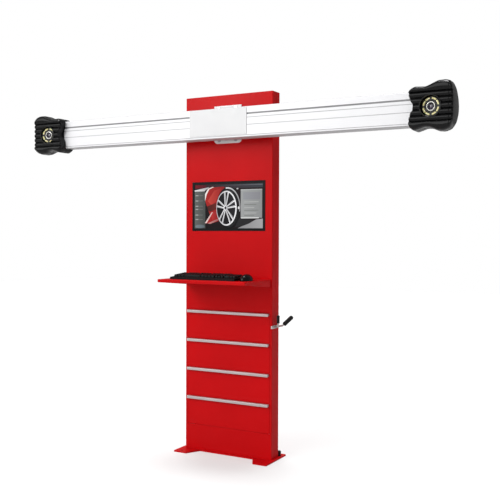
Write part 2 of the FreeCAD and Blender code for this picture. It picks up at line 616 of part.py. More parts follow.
def beam():
    """Hollow aluminium profile with two ribbed bands: a slot along the front, two along the rear."""
    (y0, y1), (z0, z1) = BEAM_Y, BEAM_Z
    slot_z = 2028.0                 # deep slot in the front, and the upper rear slot behind it
    rear_slot_z = 1904.0
    outer = box((-BEAM_HALF, BEAM_HALF), BEAM_Y, BEAM_Z)
    outer = outer.makeFillet(6.0, edges_along(outer, X, lambda p: True))
    length = (-BEAM_HALF - 1, BEAM_HALF + 1)
    wide, narrow = (y0 + BEAM_WALL, y1 - BEAM_WALL), (y0 + 10, y1 - 10)
    cuts = [box(length, wide, (rear_slot_z + 10, slot_z - 11)),
            box(length, wide, (slot_z + 11, z1 - BEAM_WALL)),
            box(length, narrow, (slot_z - 8, slot_z + 8)),
            box(length, narrow, (z0 + BEAM_WALL, rear_slot_z + 7)),
            box(length, (y0 - 1, y0 + 6), (slot_z - 4.5, slot_z + 4.5)),
            cylinder(HARNESS_HOLE_R, V(0, y1 - 30, HARNESS_Z), V(0, y1 + 5, HARNESS_Z))]
    for z in (2006.0, 1964.0, 1905.0):
        cuts.append(box(length, (y0 - 1, y0 + 1.5), (z - 1.5, z + 1.5)))
    for z in (rear_slot_z, slot_z):
        cuts.append(box(length, (y1 - 6, y1 + 1), (z - 4.5, z + 4.5)))
    return outer.cut(Part.makeCompound(cuts))


def name_plate():
    plate = box((-195, 195), (BEAM_Y[0] - 3, BEAM_Y[0]), (1910.0, 2066.0))
    plate = plate.makeFillet(6.0, edges_along(plate, Y, lambda p: True))
    rim = [e for e in plate.Edges if abs(e.CenterOfMass.y - (BEAM_Y[0] - 3)) < 0.01]
    return plate.makeChamfer(0.8, rim)


def camera_harness():
    """Cable from the computer up the column, then into the beam and along it to both pods."""
    bend = 40.0
    x, y, turn_z = 0.0, REAR - 30.0, HARNESS_Z
    start_z = (MONITOR_Z0 + MONITOR_Z1) / 2 + 100
    centre = V(x, y - bend, turn_z - bend)
    corner = centre + (Y + Z) * (bend / math.sqrt(2))
    tee_y = (BEAM_Y[0] + BEAM_Y[1]) / 2
    path = Part.Wire([
        Part.LineSegment(V(x, y, start_z), V(x, y, turn_z - bend)).toShape(),
        Part.Arc(V(x, y, turn_z - bend), corner, V(x, y - bend, turn_z)).toShape(),
        Part.LineSegment(V(x, y - bend, turn_z), V(x, tee_y, turn_z)).toShape()])
    profile = Part.Wire(Part.makeCircle(HARNESS_R, V(x, y, start_z), Z))
    riser = path.makePipeShell([profile], True, False)
    run = cylinder(HARNESS_R, V(-BEAM_HALF - 16, tee_y, turn_z), V(BEAM_HALF + 16, tee_y, turn_z))
    return riser.fuse(run)


# ---------------------------------------------------------------- camera pods (built on the right)
def pod_outline(inset):
    """Front view of a pod: a waisted shape with a small inner and a large outer lobe."""
    points = [(-113, 62), (-103, 96), (-80, 107), (-52, 104), (-28, 104), (4, 117), (38, 130), (76, 130),
              (104, 118), (115, 84), (116, 0), (114, -82), (98, -112), (62, -124), (30, -121), (-2, -108),
              (-34, -102), (-66, -110), (-94, -116), (-110, -92), (-112, -52), (-90, 0)]
    curve = Part.BSplineCurve()
    reach = (116.0 - inset) / 116.0
    height = (127.0 - inset) / 127.0
    curve.interpolate(Points=[V(POD_X + dx * reach, 0, POD_Z + dz * height) for dx, dz in points],
                      PeriodicFlag=True)
    return Part.Wire(curve.toShape())


def pod_section(x, inset, back):
    """Side view of a pod at x: top and bottom rolls, five ribs between them, and a bowed back."""
    bow, back_end = back[0] - inset, back[1] - inset
    shoulder, roll, valley = POD_FRONT + 34 + inset, POD_FRONT + inset, POD_FRONT + 12 + inset
    top, bottom = POD_Z + 140 - inset, POD_Z - 134 + inset
    rib_front = valley - 0.5 if inset else POD_FRONT + 5

    def arc(*points):
        return Part.Arc(*[V(x, y, z) for y, z in points]).toShape()

    edges = [arc((shoulder, top), (roll, POD_Z + 104), (valley, POD_Z + 75))]
    for rib in range(5):
        z = POD_Z + 75 - 30 * rib
        edges.append(arc((valley, z), (rib_front, z - 15), (valley, z - 30)))
    edges.append(arc((valley, POD_Z - 75), (roll, POD_Z - 102), (shoulder, bottom)))
    edges.append(Part.makeLine(V(x, shoulder, bottom), V(x, back_end, bottom)))
    edges.append(arc((back_end, bottom), (bow, POD_Z), (back_end, top)))
    edges.append(Part.makeLine(V(x, back_end, top), V(x, shoulder, top)))
    return Part.Wire(edges)


def pod_solid(inset):
    """Front outline and side section combined; the section tapers towards the outer end."""
    front_view = Part.Face(pod_outline(inset)).extrude(Y * 400)
    front_view.translate(V(0, -400, 0))
    side_view = Part.makeLoft([pod_section(POD_X - 120, inset, POD_REAR_IN),
                               pod_section(POD_X + 120, inset, POD_REAR_OUT)], True, True)
    return front_view.common(side_view)


def pod_shells():
    shell = pod_solid(0).cut(pod_solid(POD_WALL))
    beam_end = box((1000, BEAM_HALF + 20), (BEAM_Y[0] - 0.5, BEAM_Y[1] + 0.5), (BEAM_Z[0] - 0.5, BEAM_Z[1] + 0.5))
    window = cylinder(LENS_HOLE_R, V(POD_X, -260, POD_Z), V(POD_X, -190, POD_Z))
    shell = shell.cut(beam_end).cut(window)
    everywhere = 500.0
    body = box((1000, POD_CAP_X), (-everywhere, everywhere), (1700, 2300))
    cap = box((POD_CAP_X + 0.4, 1600), (-everywhere, everywhere), (1700, 2300))
    fore = box((1000, 1600), (-everywhere, POD_SPLIT_Y), (1700, 2300))
    aft = box((1000, 1600), (POD_SPLIT_Y + 0.4, everywhere), (1700, 2300))
    return shell.common(body).common(fore), shell.common(body).common(aft), shell.common(cap)


def pod_bracket():
    """Plate that closes the beam's end, with a platform for the camera."""
    root = BEAM_HALF + 5
    plate = box((BEAM_HALF, root), (BEAM_Y[0] + 3, BEAM_Y[1] - 12), (BEAM_Z[0] + 20, BEAM_Z[1] - 20))
    cable_y = (BEAM_Y[0] + BEAM_Y[1]) / 2
    plate = plate.cut(cylinder(7.0, V(BEAM_HALF - 2, cable_y, HARNESS_Z), V(BEAM_HALF + 8, cable_y, HARNESS_Z)))
    edge = AIM_Y - 10.0
    platform = prism([V(x, y, POD_Z - 48) for x, y in (
        (root, BEAM_Y[0] + 5), (root + 25, edge), (POD_CAP_X - 25, edge), (POD_CAP_X - 25, -104), (root, -104))],
        Z * 6)
    gusset = prism([V(root, -106, POD_Z - 42), V(root + 40, -106, POD_Z - 42), V(root, -106, POD_Z + 20)], Y * 2)
    hole = cylinder(AIM_HOLE_R, V(AIM_PIVOT[0], AIM_PIVOT[1], POD_Z - 60), V(AIM_PIVOT[0], AIM_PIVOT[1], POD_Z))
    return union([plate, platform, gusset]).cut(hole)


def toe_in(shape):
    """Turn a shape built square to the beam onto the right camera's aim."""
    return shape.rotate(V(AIM_PIVOT[0], AIM_PIVOT[1], 0), Z, -TOE_IN)


def camera_body():
    """Camera box on its aiming pivot, with the lens barrel and the ring's backing disc."""
    x, y = AIM_PIVOT
    body = box((x - 32, x + 32), (RING_FACE_Y + 17, RING_FACE_Y + 81), (POD_Z - 41.7, POD_Z + 30))
    body = body.makeFillet(3.0, edges_along(body, Y, lambda p: True))
    barrel = cylinder(25.0, V(x, RING_FACE_Y + 1, POD_Z), V(x, RING_FACE_Y + 20, POD_Z))
    disc = cylinder(RING_R - 1, V(x, RING_FACE_Y + 3, POD_Z), V(x, RING_FACE_Y + 6, POD_Z))
    pivot = cylinder(AIM_R, V(x, y, POD_Z - 52), V(x, y, POD_Z - 38))
    socket = cylinder(22.0, V(x, RING_FACE_Y, POD_Z), V(x, RING_FACE_Y + 15, POD_Z))
    return toe_in(union([body, barrel, disc, pivot]).cut(socket))


def led_ring():
    """Ring light: an annulus of separate lamp segments on one carrier."""
    x = AIM_PIVOT[0]
    y = RING_FACE_Y
    carrier = cylinder(RING_R, V(x, y, POD_Z), V(x, y + 3, POD_Z))
    segments = cylinder(RING_R - 3, V(x, y - 3, POD_Z), V(x, y, POD_Z))
    segments = segments.cut(cylinder(31.0, V(x, y - 4, POD_Z), V(x, y + 1, POD_Z)))
    spokes = []
    for step in range(8):
        spoke = box((x - 1.5, x + 1.5), (y - 4, y), (POD_Z, POD_Z + 60))
        spokes.append(spoke.rotate(V(x, 0, POD_Z), Y, 45 * step + 22.5))
    ring = union([carrier, segments.cut(Part.makeCompound(spokes))])
    return toe_in(ring.cut(cylinder(25.0, V(x, y - 5, POD_Z), V(x, y + 5, POD_Z))))


def camera_lens():
    """Lens: silver rim with a domed front element."""
    x = AIM_PIVOT[0]
    barrel = cylinder(22.0, V(x, RING_FACE_Y - 5, POD_Z), V(x, RING_FACE_Y + 15, POD_Z))
    dish = Part.makeSphere(40.0, V(x, RING_FACE_Y - 37, POD_Z))
    return toe_in(barrel.cut(dish))


# ---------------------------------------------------------------- side hook
def side_hook():
    """Flat bar on the column's right side with two prongs; the second one leans outwards."""
    bar = box((HALF, HALF + 6), (-57.0, 36.0), HOOK_Z)
    bar = bar.makeFillet(2.0, edges_along(bar, X, lambda p: True))
    rod_z = sum(HOOK_Z) / 2
    corner, elbow = V(PRONG_X, PRONG_Y, rod_z), V(*ARM_ELBOW)
    prong = cylinder(HOOK_ROD_R, V(HALF + 4, PRONG_Y, rod_z), corner)
    prong = prong.fuse(Part.makeSphere(HOOK_ROD_R, corner))
    prong = prong.fuse(cylinder(HOOK_ROD_R, corner, V(PRONG_X, PRONG_Y, PRONG_TOP)))
    arm = cylinder(HOOK_ROD_R, V(HALF + 4, ARM_Y, rod_z), elbow)
    arm = arm.fuse(Part.makeSphere(HOOK_ROD_R, elbow)).fuse(cylinder(HOOK_ROD_R, elbow, V(*ARM_TIP)))
    return union([bar, prong, arm])


def hook_sleeves():
    """Rubber sleeves over both prongs, closed and rounded at their ends."""
    tip, elbow = V(*ARM_TIP), V(*ARM_ELBOW)
    along = (tip - elbow).normalize()
    sleeves = []
    for radius, start, end, axis in (
            (SLEEVE_R, V(PRONG_X, PRONG_Y, SLEEVE_TOP - SLEEVE_L), V(PRONG_X, PRONG_Y, SLEEVE_TOP), Z),
            (GRIP_R, elbow + along * 16, tip + along * 2, along)):
        outer = cylinder(radius, start, end).fuse(Part.makeSphere(radius, end - axis * 2))
        sleeves.append(outer.removeSplitter().cut(cylinder(HOOK_ROD_R, start - axis, end - axis * 2)))
    return sleeves


# ---------------------------------------------------------------- power inlet
def power_inlet():
    """Inlet module in the rear panel: a socket recess and an opening for the rocker switch."""
    flange = box((-237, -163), (REAR, REAR + 2.5), (66.0, 104.0))
    flange = flange.makeFillet(3.0, edges_along(flange, Y, lambda p: True))
    body = box((-231.5, -168.5), (REAR - 26, REAR), (71.5, 98.5))
    socket = box((-227, -199), (REAR - 18, REAR + 5), (INLET_Z - 8.5, INLET_Z + 8.5))
    blades = [box((x - 1, x + 1), (REAR - 20, REAR - 4), (INLET_Z - 3, INLET_Z + 3)) for x in (-220, -213, -206)]
    rocker_well = box((ROCKER_X - 7.2, ROCKER_X + 7.2), (REAR - 14, REAR + 5), (INLET_Z - 11.5, INLET_Z + 11.5))
    bearing = cylinder(1.55, V(ROCKER_X - 9, REAR - 1.5, INLET_Z), V(ROCKER_X + 9, REAR - 1.5, INLET_Z))
    return union([flange, body]).cut(socket).cut(rocker_well).cut(bearing).fuse(Part.makeCompound(blades))


def rocker_switch():
    """Rocker with a V-shaped face, pressed in at the bottom."""
    centre = V(ROCKER_X, REAR - 1.5, INLET_Z)
    drum = cylinder(11.0, centre - X * 6.7, centre + X * 6.7)
    keep = prism([centre + V(-8, 3.5, 0), centre + V(-8, 6.5, 12), centre + V(-8, -12, 12),
                  centre + V(-8, -12, -12), centre + V(-8, 6.5, -12)], X * 16)
    rocker = drum.common(keep).fuse(cylinder(1.5, centre - X * 8.6, centre + X * 8.6))
    return rocker.rotate(centre, X, -ROCKER_TILT)


# ---------------------------------------------------------------- write every node
save("base_plate", base_plate())
save("levelling_screw_right", levelling_screw())
save("levelling_screw_left", mirror_x(levelling_screw()))
save("inner_frame", inner_frame())
save("front_panel", front_panel())
save("rear_panel", rear_panel())
save("top_cap", top_cap())
save("rear_door", rear_door())
save("door_hinges", *door_hinges())
save("door_latch", door_latch())
save("shelf", shelf())
save("panel_screws", *[pan_screw(spot, -Y) for spot in shelf_screw_spots()])
save("keyboard_case", keyboard_case())
save("keyboard_keys", *keyboard_keys())
save("space_bar", space_bar())

mouse_shell, mouse_left, mouse_right, mouse_wheel = mouse_parts()
save("mouse_shell", mouse_shell)
save("mouse_left_button", mouse_left)
save("mouse_right_button", mouse_right)
save("mouse_wheel", mouse_wheel)

bezel, screen, back = monitor_parts()
save("monitor_bezel", bezel)
save("monitor_screen", screen)
save("monitor_back", back)
save("monitor_strap", monitor_strap())
save("computer", computer())

for number in range(1, DRAWER_COUNT + 1):
    drawer_front, drawer_pull, drawer_tray = drawer_parts(number)
    save("drawer_%d_front" % number, drawer_front)
    save("drawer_%d_pull" % number, drawer_pull)
    save("drawer_%d_tray" % number, drawer_tray)
save("drawer_runners", *drawer_runners())

save("beam_bracket", beam_bracket())
save("frame_bolts", *frame_bolts())
save("beam", beam())
save("name_plate", name_plate())
save("camera_harness", camera_harness())

pod_front, pod_rear, pod_cap = pod_shells()
pod_pieces = {"pod_front_shell": pod_front, "pod_rear_shell": pod_rear, "pod_end_cap": pod_cap,
              "pod_bracket": pod_bracket(), "camera_body": camera_body(), "led_ring": led_ring(),
              "camera_lens": camera_lens()}
for name, shape in pod_pieces.items():
    save(name + "_right", shape)
    save(name + "_left", mirror_x(shape))

save("side_hook", side_hook())
save("hook_sleeves", *hook_sleeves())
save("power_inlet", power_inlet())
save("rocker_switch", rocker_switch())
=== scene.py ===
# Looks of a 3-D wheel aligner: a red sheet-metal column with a camera beam, keyboard shelf and drawers.
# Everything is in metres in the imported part's frame: +X right, +Y to the rear, +Z up.
from collections import Counter
import json
import math

import bmesh
import bpy
import numpy as np
from mathutils import Matrix, Vector


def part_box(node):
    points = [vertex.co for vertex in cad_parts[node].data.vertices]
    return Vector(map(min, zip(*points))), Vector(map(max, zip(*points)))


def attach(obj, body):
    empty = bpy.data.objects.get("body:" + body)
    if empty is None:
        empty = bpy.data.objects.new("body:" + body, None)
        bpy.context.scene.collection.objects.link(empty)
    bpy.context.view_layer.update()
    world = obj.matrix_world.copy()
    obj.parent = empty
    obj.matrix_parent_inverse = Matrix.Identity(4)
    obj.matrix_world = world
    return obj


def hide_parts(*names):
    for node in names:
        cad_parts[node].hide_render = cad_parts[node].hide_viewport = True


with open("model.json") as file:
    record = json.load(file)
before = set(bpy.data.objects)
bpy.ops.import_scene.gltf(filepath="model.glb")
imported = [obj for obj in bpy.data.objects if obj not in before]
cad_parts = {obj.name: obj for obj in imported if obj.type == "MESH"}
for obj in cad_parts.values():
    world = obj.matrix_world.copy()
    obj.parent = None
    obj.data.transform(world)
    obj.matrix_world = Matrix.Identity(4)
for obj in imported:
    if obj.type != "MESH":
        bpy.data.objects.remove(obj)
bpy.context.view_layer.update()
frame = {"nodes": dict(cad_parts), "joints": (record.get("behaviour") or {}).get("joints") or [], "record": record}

SCENE = bpy.context.scene
WHITE = (1.0, 1.0, 1.0, 1.0)
MM = 0.001
WELD = 1e-6                     # points closer than this are one
JOINTS = {joint["name"]: joint for joint in frame["joints"]}
SLOT_OF = {sub["node"]: sub["material_slot"] for sub in frame["record"]["subparts"]}
BODY_OF = {node: body for body, nodes in frame["record"]["behaviour"]["bodies"].items() for node in nodes}

# -------- dimensions
# Camera pods. Their x counts from the camera axis, and their heights from the camera's height.
POD_X = 1.280                   # camera axis
POD_Z = 1.982                   # camera height
POD_FRONT = -0.226              # foremost plane
POD_SPLIT_Y = -0.165            # joint between the front and the rear shell
POD_INNER = -0.1125             # inner end
POD_JOINT = 0.096               # joint with the end cap
POD_OUTER = 0.1155              # outer end
POD_GAP = 0.0005                # half of an open joint
POD_WALL = 0.003
POD_TOP = [(POD_INNER, 0.080), (-0.104, 0.096), (-0.083, 0.107), (-0.058, 0.105), (-0.026, 0.103),
           (0.004, 0.116), (0.036, 0.130), (0.075, 0.131), (0.096, 0.125), (0.106, 0.116),
           (POD_OUTER, 0.100)]                                      # (x, height above the axis)
POD_BOTTOM = [(POD_INNER, 0.096), (-0.106, 0.108), (-0.090, 0.118), (-0.066, 0.112), (-0.034, 0.103),
              (-0.004, 0.106), (0.030, 0.121), (0.062, 0.125), (0.090, 0.117), (0.104, 0.105),
              (POD_OUTER, 0.090)]                                   # (x, depth below the axis)
BACK_IN = (-0.058, -0.100)      # y of the back at mid-height and at the top and bottom, inner end
BACK_OUT = (-0.092, -0.140)     # the same at the outer end
BACK_CORNER_R = 0.014
LIP_D, LIP_W = 0.0009, 0.0012   # small bevel along every joint
SHELL_EDGE_R, CAP_EDGE_R = 0.007, 0.009     # round edges of the closed ends
WAIST_D, WAIST_HALF, WAIST_FADE = 0.022, 0.034, 0.060   # dent in the inner end, between its two lobes
WAIST_MIDDLE = 0.002
CAP_FALL = 0.006                # how far the cap's end falls back at its top and bottom
POD_MIDDLE_Y, POD_HALF_DEPTH, POD_HALF_HEIGHT = -0.155, 0.085, 0.12     # rough size, for the round edges

RIBS = 5
RIB_PITCH = 0.030
RIB_EDGE = RIBS * RIB_PITCH / 2         # ribbed field, half height
RIB_TOP, RIB_DROP = 0.0035, 0.0095      # a rib's crest and its depth, behind the foremost plane
ROLL_SHARE = 0.42               # crest of the rolls above and below the ribs, as a share of their height
SHOULDER_D, VALLEY_D = 0.034, 0.012     # depth of a roll at its outer and at its inner foot
LINING_D = 0.0135               # flat inside face behind the ribs

WINDOW_R = 0.053                # camera window in the front shell
WINDOW_Y = (-0.240, -0.172)
COLLAR = [(0.0532, -0.190), (0.0532, -0.2200), (0.0540, -0.2225), (0.0560, -0.2232), (0.0585, -0.2218),
          (0.0600, -0.2180), (0.0600, -0.2120), (0.0560, -0.2080), (0.0560, -0.190), (0.0532, -0.190)]

# Camera heads. The outlines are (radius, y) and closed; their y counts from the ring light's face.
TOE_IN = math.radians(9.0)
FACE_AHEAD = 0.025              # from the aiming pivot forwards to the ring light's face
RING_BOARD = [(0.0252, 0.003), (0.0500, 0.003), (0.0500, -0.0020), (0.0492, -0.0028), (0.0480, -0.0028),
              (0.0475, -0.0008), (0.0350, -0.0008), (0.0342, -0.0020), (0.0310, -0.0026),
              (0.0290, -0.0018), (0.0275, 0.0004), (0.0252, 0.0006), (0.0252, 0.003)]
LENS_RIM = [(0.0172, 0.004), (0.0172, -0.0020), (0.0182, -0.0044), (0.0204, -0.0054), (0.0230, -0.0052),
            (0.0262, -0.0036), (0.0276, -0.0014), (0.0278, 0.0004), (0.0245, 0.0006), (0.0245, 0.004),
            (0.0172, 0.004)]
LAMP_RADII, LAMP_Y = (0.0372, 0.0460), (-0.0008, -0.0052)
LAMP_GAP_WIDE, LAMP_GAP_NARROW = math.radians(15), math.radians(5)

# Painted shade on the beam, as grey lines in its grooves and along its edges: height above its underside, half
# width, grey value
BEAM_SHADE_LINES = [(0.1350, 0.0055, 0.30), (0.1130, 0.0028, 0.52), (0.0710, 0.0028, 0.55), (0.0120, 0.0024, 0.48),
              (0.0015, 0.0022, 0.45), (0.1755, 0.0020, 0.60)]

# Screen picture: flat tiles, each a little further out than the one below
TILE_RISE = 0.000035
TILE_ROOT, TILE_ROOT_STEP = 0.0004, 0.00001     # how deep the tiles are let into the glass
GLASS_SET_BACK = 0.0002

KEY_CORNER_R = 0.0022
KEY_LEVELS = [(0.0, 0.0), (0.0, 0.28), (0.0013, 0.86), (0.0019, 0.965), (0.0028, 1.0),
              (0.0050, 0.93)]   # (inset, share of a key's height)
KEY_DISH = 0.90                 # middle of a key's top, as a share of its height
SMALLEST_KEY = 0.006
GRIP_RINGS = 5

FLOOR_HALF, FLOOR_CELLS = 14.0, 8
WORLD_LIGHT, WORLD_GLOSS_CUT = 0.46, 0.20       # reflections see a darker room than surfaces do
FLOOR_LIFT = 0.42               # added to the floor for the camera only

CAMERA_AT = (2.4256, -4.1629, 1.330)
CAMERA_YAW, CAMERA_PITCH, CAMERA_ROLL = math.radians(28.9), math.radians(1.1), math.radians(0.2)
FOCAL_MM, SENSOR_MM = 57.15, 36.0


# -------- node trees
def rgba(colour):
    return (*colour, 1.0)


class Paint:
    """One Principled material and short ways to add nodes to it."""

    def __init__(self, name, **values):
        self.material = bpy.data.materials.new(name)
        self.material.use_nodes = True
        self.tree = self.material.node_tree
        self.shader = self.tree.nodes["Principled BSDF"]
        self.place = self.node("ShaderNodeTexCoord").outputs["Object"]
        for socket, value in values.items():
            self.shader.inputs[socket.replace("_", " ")].default_value = value

    def node(self, kind, **settings):
        made = self.tree.nodes.new(kind)
        for key, value in settings.items():
            setattr(made, key, value)
        return made

    def put(self, source, target):
        """Link a socket, or set a plain value."""
        if isinstance(source, bpy.types.NodeSocket):
            self.tree.links.new(source, target)
        else:
            target.default_value = source

    def stretch(self, scale):
        mapping = self.node("ShaderNodeMapping")
        self.put(self.place, mapping.inputs["Vector"])
        mapping.inputs["Scale"].default_value = scale
        return mapping.outputs["Vector"]

    def noise(self, scale, detail=2.0, stretch=None, roughness=0.5):
        made = self.node("ShaderNodeTexNoise")
        self.put(self.stretch(stretch) if stretch else self.place, made.inputs["Vector"])
        made.inputs["Scale"].default_value = scale
        made.inputs["Detail"].default_value = detail
        made.inputs["Roughness"].default_value = roughness
        return made.outputs["Fac"]

    def cells(self, scale):
        made = self.node("ShaderNodeTexVoronoi")
        self.put(self.place, made.inputs["Vector"])
        made.inputs["Scale"].default_value = scale
        return made.outputs["Distance"]

    def ramp(self, source, *stops):
        made = self.node("ShaderNodeValToRGB")
        self.put(source, made.inputs["Fac"])
        band = made.color_ramp.elements
        while len(band) < len(stops):
            band.new(0.5)
        for element, (position, colour) in zip(band, stops):
            element.position = position
            element.color = rgba(colour)
        return made.outputs["Color"]

    def between(self, source, low, high):
        """A value that runs from low to high as source runs over a noise's usual range."""
        made = self.node("ShaderNodeMapRange")
        self.put(source, made.inputs["Value"])
        for socket, value in (("From Min", 0.25), ("From Max", 0.75), ("To Min", low), ("To Max", high)):
            made.inputs[socket].default_value = value
        return made.outputs["Result"]

    def math(self, operation, first, second=0.0):
        made = self.node("ShaderNodeMath", operation=operation)
        self.put(first, made.inputs[0])
        self.put(second, made.inputs[1])
        return made.outputs["Value"]

    def average(self, first, second):
        return self.math("MULTIPLY", self.math("ADD", first, second), 0.5)

    def mix(self, factor, first, second):
        made = self.node("ShaderNodeMix", data_type="RGBA")
        colour_a, colour_b, result = made.inputs[6], made.inputs[7], made.outputs[2]
        self.put(factor, made.inputs["Factor"])
        self.put(first, colour_a)
        self.put(second, colour_b)
        return result

    def colour(self, source):
        self.put(source, self.shader.inputs["Base Color"])

    def rough(self, source):
        self.put(source, self.shader.inputs["Roughness"])

    def bump(self, *layers):
        """Layers of (height, strength, distance in metres), one on top of the other."""
        below = None
        for height, strength, distance in layers:
            made = self.node("ShaderNodeBump")
            made.inputs["Strength"].default_value = strength
            made.inputs["Distance"].default_value = distance
            self.put(height, made.inputs["Height"])
            if below is not None:
                self.put(below, made.inputs["Normal"])
            below = made.outputs["Normal"]
        self.put(below, self.shader.inputs["Normal"])

    def edges(self, radius=0.0016, gain=5.0):
        """Rises along the outer edges of a piece, 0 elsewhere."""
        bevel = self.node("ShaderNodeBevel", samples=4)
        bevel.inputs["Radius"].default_value = radius
        flat = self.node("ShaderNodeNewGeometry").outputs["Normal"]
        dot = self.node("ShaderNodeVectorMath", operation="DOT_PRODUCT")
        self.put(bevel.outputs["Normal"], dot.inputs[0])
        self.put(flat, dot.inputs[1])
        return self.math("MULTIPLY", self.math("SUBTRACT", 1.0, dot.outputs["Value"]), gain)


# -------- materials
def enamel(name, dark, light, rough=(0.34, 0.46), coat=0.03, specular=0.06):
    """Baked enamel on sheet metal: cloudy tone, orange peel, slow waves of the sheet, and paler edges that are
    partly rubbed paint and partly a painted edge highlight.
    """
    paint = Paint(name, Coat_Weight=coat, Coat_Roughness=0.16, Specular_IOR_Level=specular)
    cloud = paint.mix(paint.between(paint.noise(2.6, 4.0), 0.0, 1.0), rgba(dark), rgba(light))
    speck = paint.math("GREATER_THAN", paint.noise(430.0, 1.0), 0.74)
    pale = rgba([min(1.0, c * 1.35 + 0.03) for c in light])
    # Paler along the outer edges: partly rubbed paint, partly a painted highlight where the edges catch the light.
    rubbed_and_highlit_edges = paint.math("MULTIPLY", paint.edges(), paint.between(paint.noise(38.0, 5.0), 0.0, 0.7))
    specked = paint.mix(paint.math("MULTIPLY", speck, 0.10), cloud, pale)
    paint.colour(paint.mix(rubbed_and_highlit_edges, specked, pale))
    paint.rough(paint.between(paint.noise(9.0, 6.0, roughness=0.65), *rough))
    paint.bump((paint.noise(5.0, 1.0), 0.05, 0.004), (paint.noise(620.0, 1.0), 0.05, 0.0004))
    return paint.material


def brushed(name, dark, light, along=(0.012, 1.0, 1.0), rough=(0.28, 0.42), metallic=1.0):
    """Drawn or brushed metal: fine streaks along one direction, a few scuffs."""
    paint = Paint(name, Metallic=metallic)
    streak = paint.noise(900.0, 3.0, stretch=along, roughness=0.7)
    tone = paint.between(paint.average(streak, paint.noise(6.0, 4.0)), 0.0, 1.0)
    paint.colour(paint.mix(tone, rgba(dark), rgba(light)))
    paint.rough(paint.between(paint.average(streak, paint.noise(23.0, 5.0)), *rough))
    paint.bump((streak, 0.08, 0.0003))
    return paint.material


def beam_material():
    """Satin anodised profile: fine streaks along its length, and painted shade as grey lines in its grooves and
    along its edges.
    """
    paint = Paint("beam_profile", Metallic=0.15, Specular_IOR_Level=0.4)
    streak = paint.noise(900.0, 3.0, stretch=(0.012, 1.0, 1.0), roughness=0.7)
    tone = paint.mix(paint.between(streak, 0.0, 1.0), (0.79, 0.79, 0.81, 1.0), (0.87, 0.87, 0.88, 1.0))
    place = paint.node("ShaderNodeSeparateXYZ")
    paint.put(paint.place, place.inputs["Vector"])
    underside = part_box("beam")[0].z
    # Each line paints shade into a groove or along an edge of the profile.
    for height, half_width, grey in BEAM_SHADE_LINES:
        away = paint.math("ABSOLUTE", paint.math("SUBTRACT", place.outputs["Z"], underside + height))
        near = paint.math("SUBTRACT", 1.0, paint.math("DIVIDE", away, half_width))
        line = paint.node("ShaderNodeMath", operation="MULTIPLY", use_clamp=True)
        paint.put(near, line.inputs[0])
        line.inputs[1].default_value = 2.5      # steepness of the line's edges
        tone = paint.mix(line.outputs["Value"], tone, (grey, grey, grey * 1.02, 1.0))
    paint.colour(tone)
    paint.rough(paint.between(paint.average(streak, paint.noise(23.0, 5.0)), 0.36, 0.52))
    paint.bump((streak, 0.08, 0.0003))
    return paint.material


def moulded(name, base, rough=(0.32, 0.46), grain=1400.0, depth=0.10, spread=1.6, specular=0.5):
    """Moulded plastic or rubber: spark-eroded grain, faint flow marks and dust in the tone."""
    paint = Paint(name, Specular_IOR_Level=specular)
    dust = paint.between(paint.noise(14.0, 6.0, roughness=0.6), 0.0, 1.0)
    paint.colour(paint.mix(dust, rgba(base), rgba([c * spread for c in base])))
    paint.rough(paint.between(paint.noise(31.0, 4.0), *rough))
    paint.bump((paint.cells(grain), depth, 0.0003), (paint.noise(60.0, 2.0), 0.03, 0.0006))
    return paint.material


def picture_material():
    """The screen: the drawn picture's own colours, lit from behind, under a faint pixel raster."""
    paint = Paint("screen_picture", Roughness=0.22, Specular_IOR_Level=0.10)
    black = (0.0, 0.0, 0.0, 1.0)
    drawn = paint.node("ShaderNodeVertexColor", layer_name="Picture").outputs["Color"]
    raster = paint.between(paint.noise(2600.0, 0.0, stretch=(1.0, 1.0, 0.25)), 0.86, 1.0)
    shade = paint.mix(raster, black, drawn)
    paint.colour(paint.mix(0.40, black, shade))
    paint.put(shade, paint.shader.inputs["Emission Color"])
    paint.shader.inputs["Emission Strength"].default_value = 0.78
    return paint.material


def lamp_material():
    """Warm diffuser of the ring light, brighter where the lamps sit behind it."""
    paint = Paint("ring_lamp", Roughness=0.24, Specular_IOR_Level=0.6, Subsurface_Weight=0.15)
    glow = paint.ramp(paint.cells(150.0), (0.05, (1.0, 0.93, 0.66)), (0.55, (0.74, 0.62, 0.26)))
    paint.colour(glow)
    paint.put(glow, paint.shader.inputs["Emission Color"])
    paint.shader.inputs["Emission Strength"].default_value = 0.16
    paint.bump((paint.noise(380.0, 1.0), 0.06, 0.0005))
    return paint.material


def lens_material():
    """Coated front lens: near black, with a violet sheen in its coat."""
    paint = Paint("lens_glass", Roughness=0.05, Coat_Weight=1.0, Coat_Roughness=0.02, IOR=1.6)
    violet = paint.ramp(paint.noise(45.0, 2.0), (0.35, (0.010, 0.006, 0.018)), (0.7, (0.035, 0.018, 0.055)))
    paint.colour(violet)
    paint.bump((paint.noise(90.0, 1.0), 0.01, 0.0003))
    return paint.material


def floor_material():
    """Pale studio floor, lifted to white for the camera so that only the soft shadow shows."""
    paint = Paint("studio_floor", Roughness=0.85, Specular_IOR_Level=0.0)
    cloud = paint.between(paint.noise(0.7, 2.0), 0.0, 1.0)
    paint.colour(paint.mix(cloud, (0.47, 0.47, 0.47, 1.0), (0.49, 0.49, 0.49, 1.0)))
    paint.shader.inputs["Emission Color"].default_value = WHITE
    seen = paint.node("ShaderNodeLightPath").outputs["Is Camera Ray"]
    paint.put(paint.math("MULTIPLY", seen, FLOOR_LIFT), paint.shader.inputs["Emission Strength"])
    return paint.material


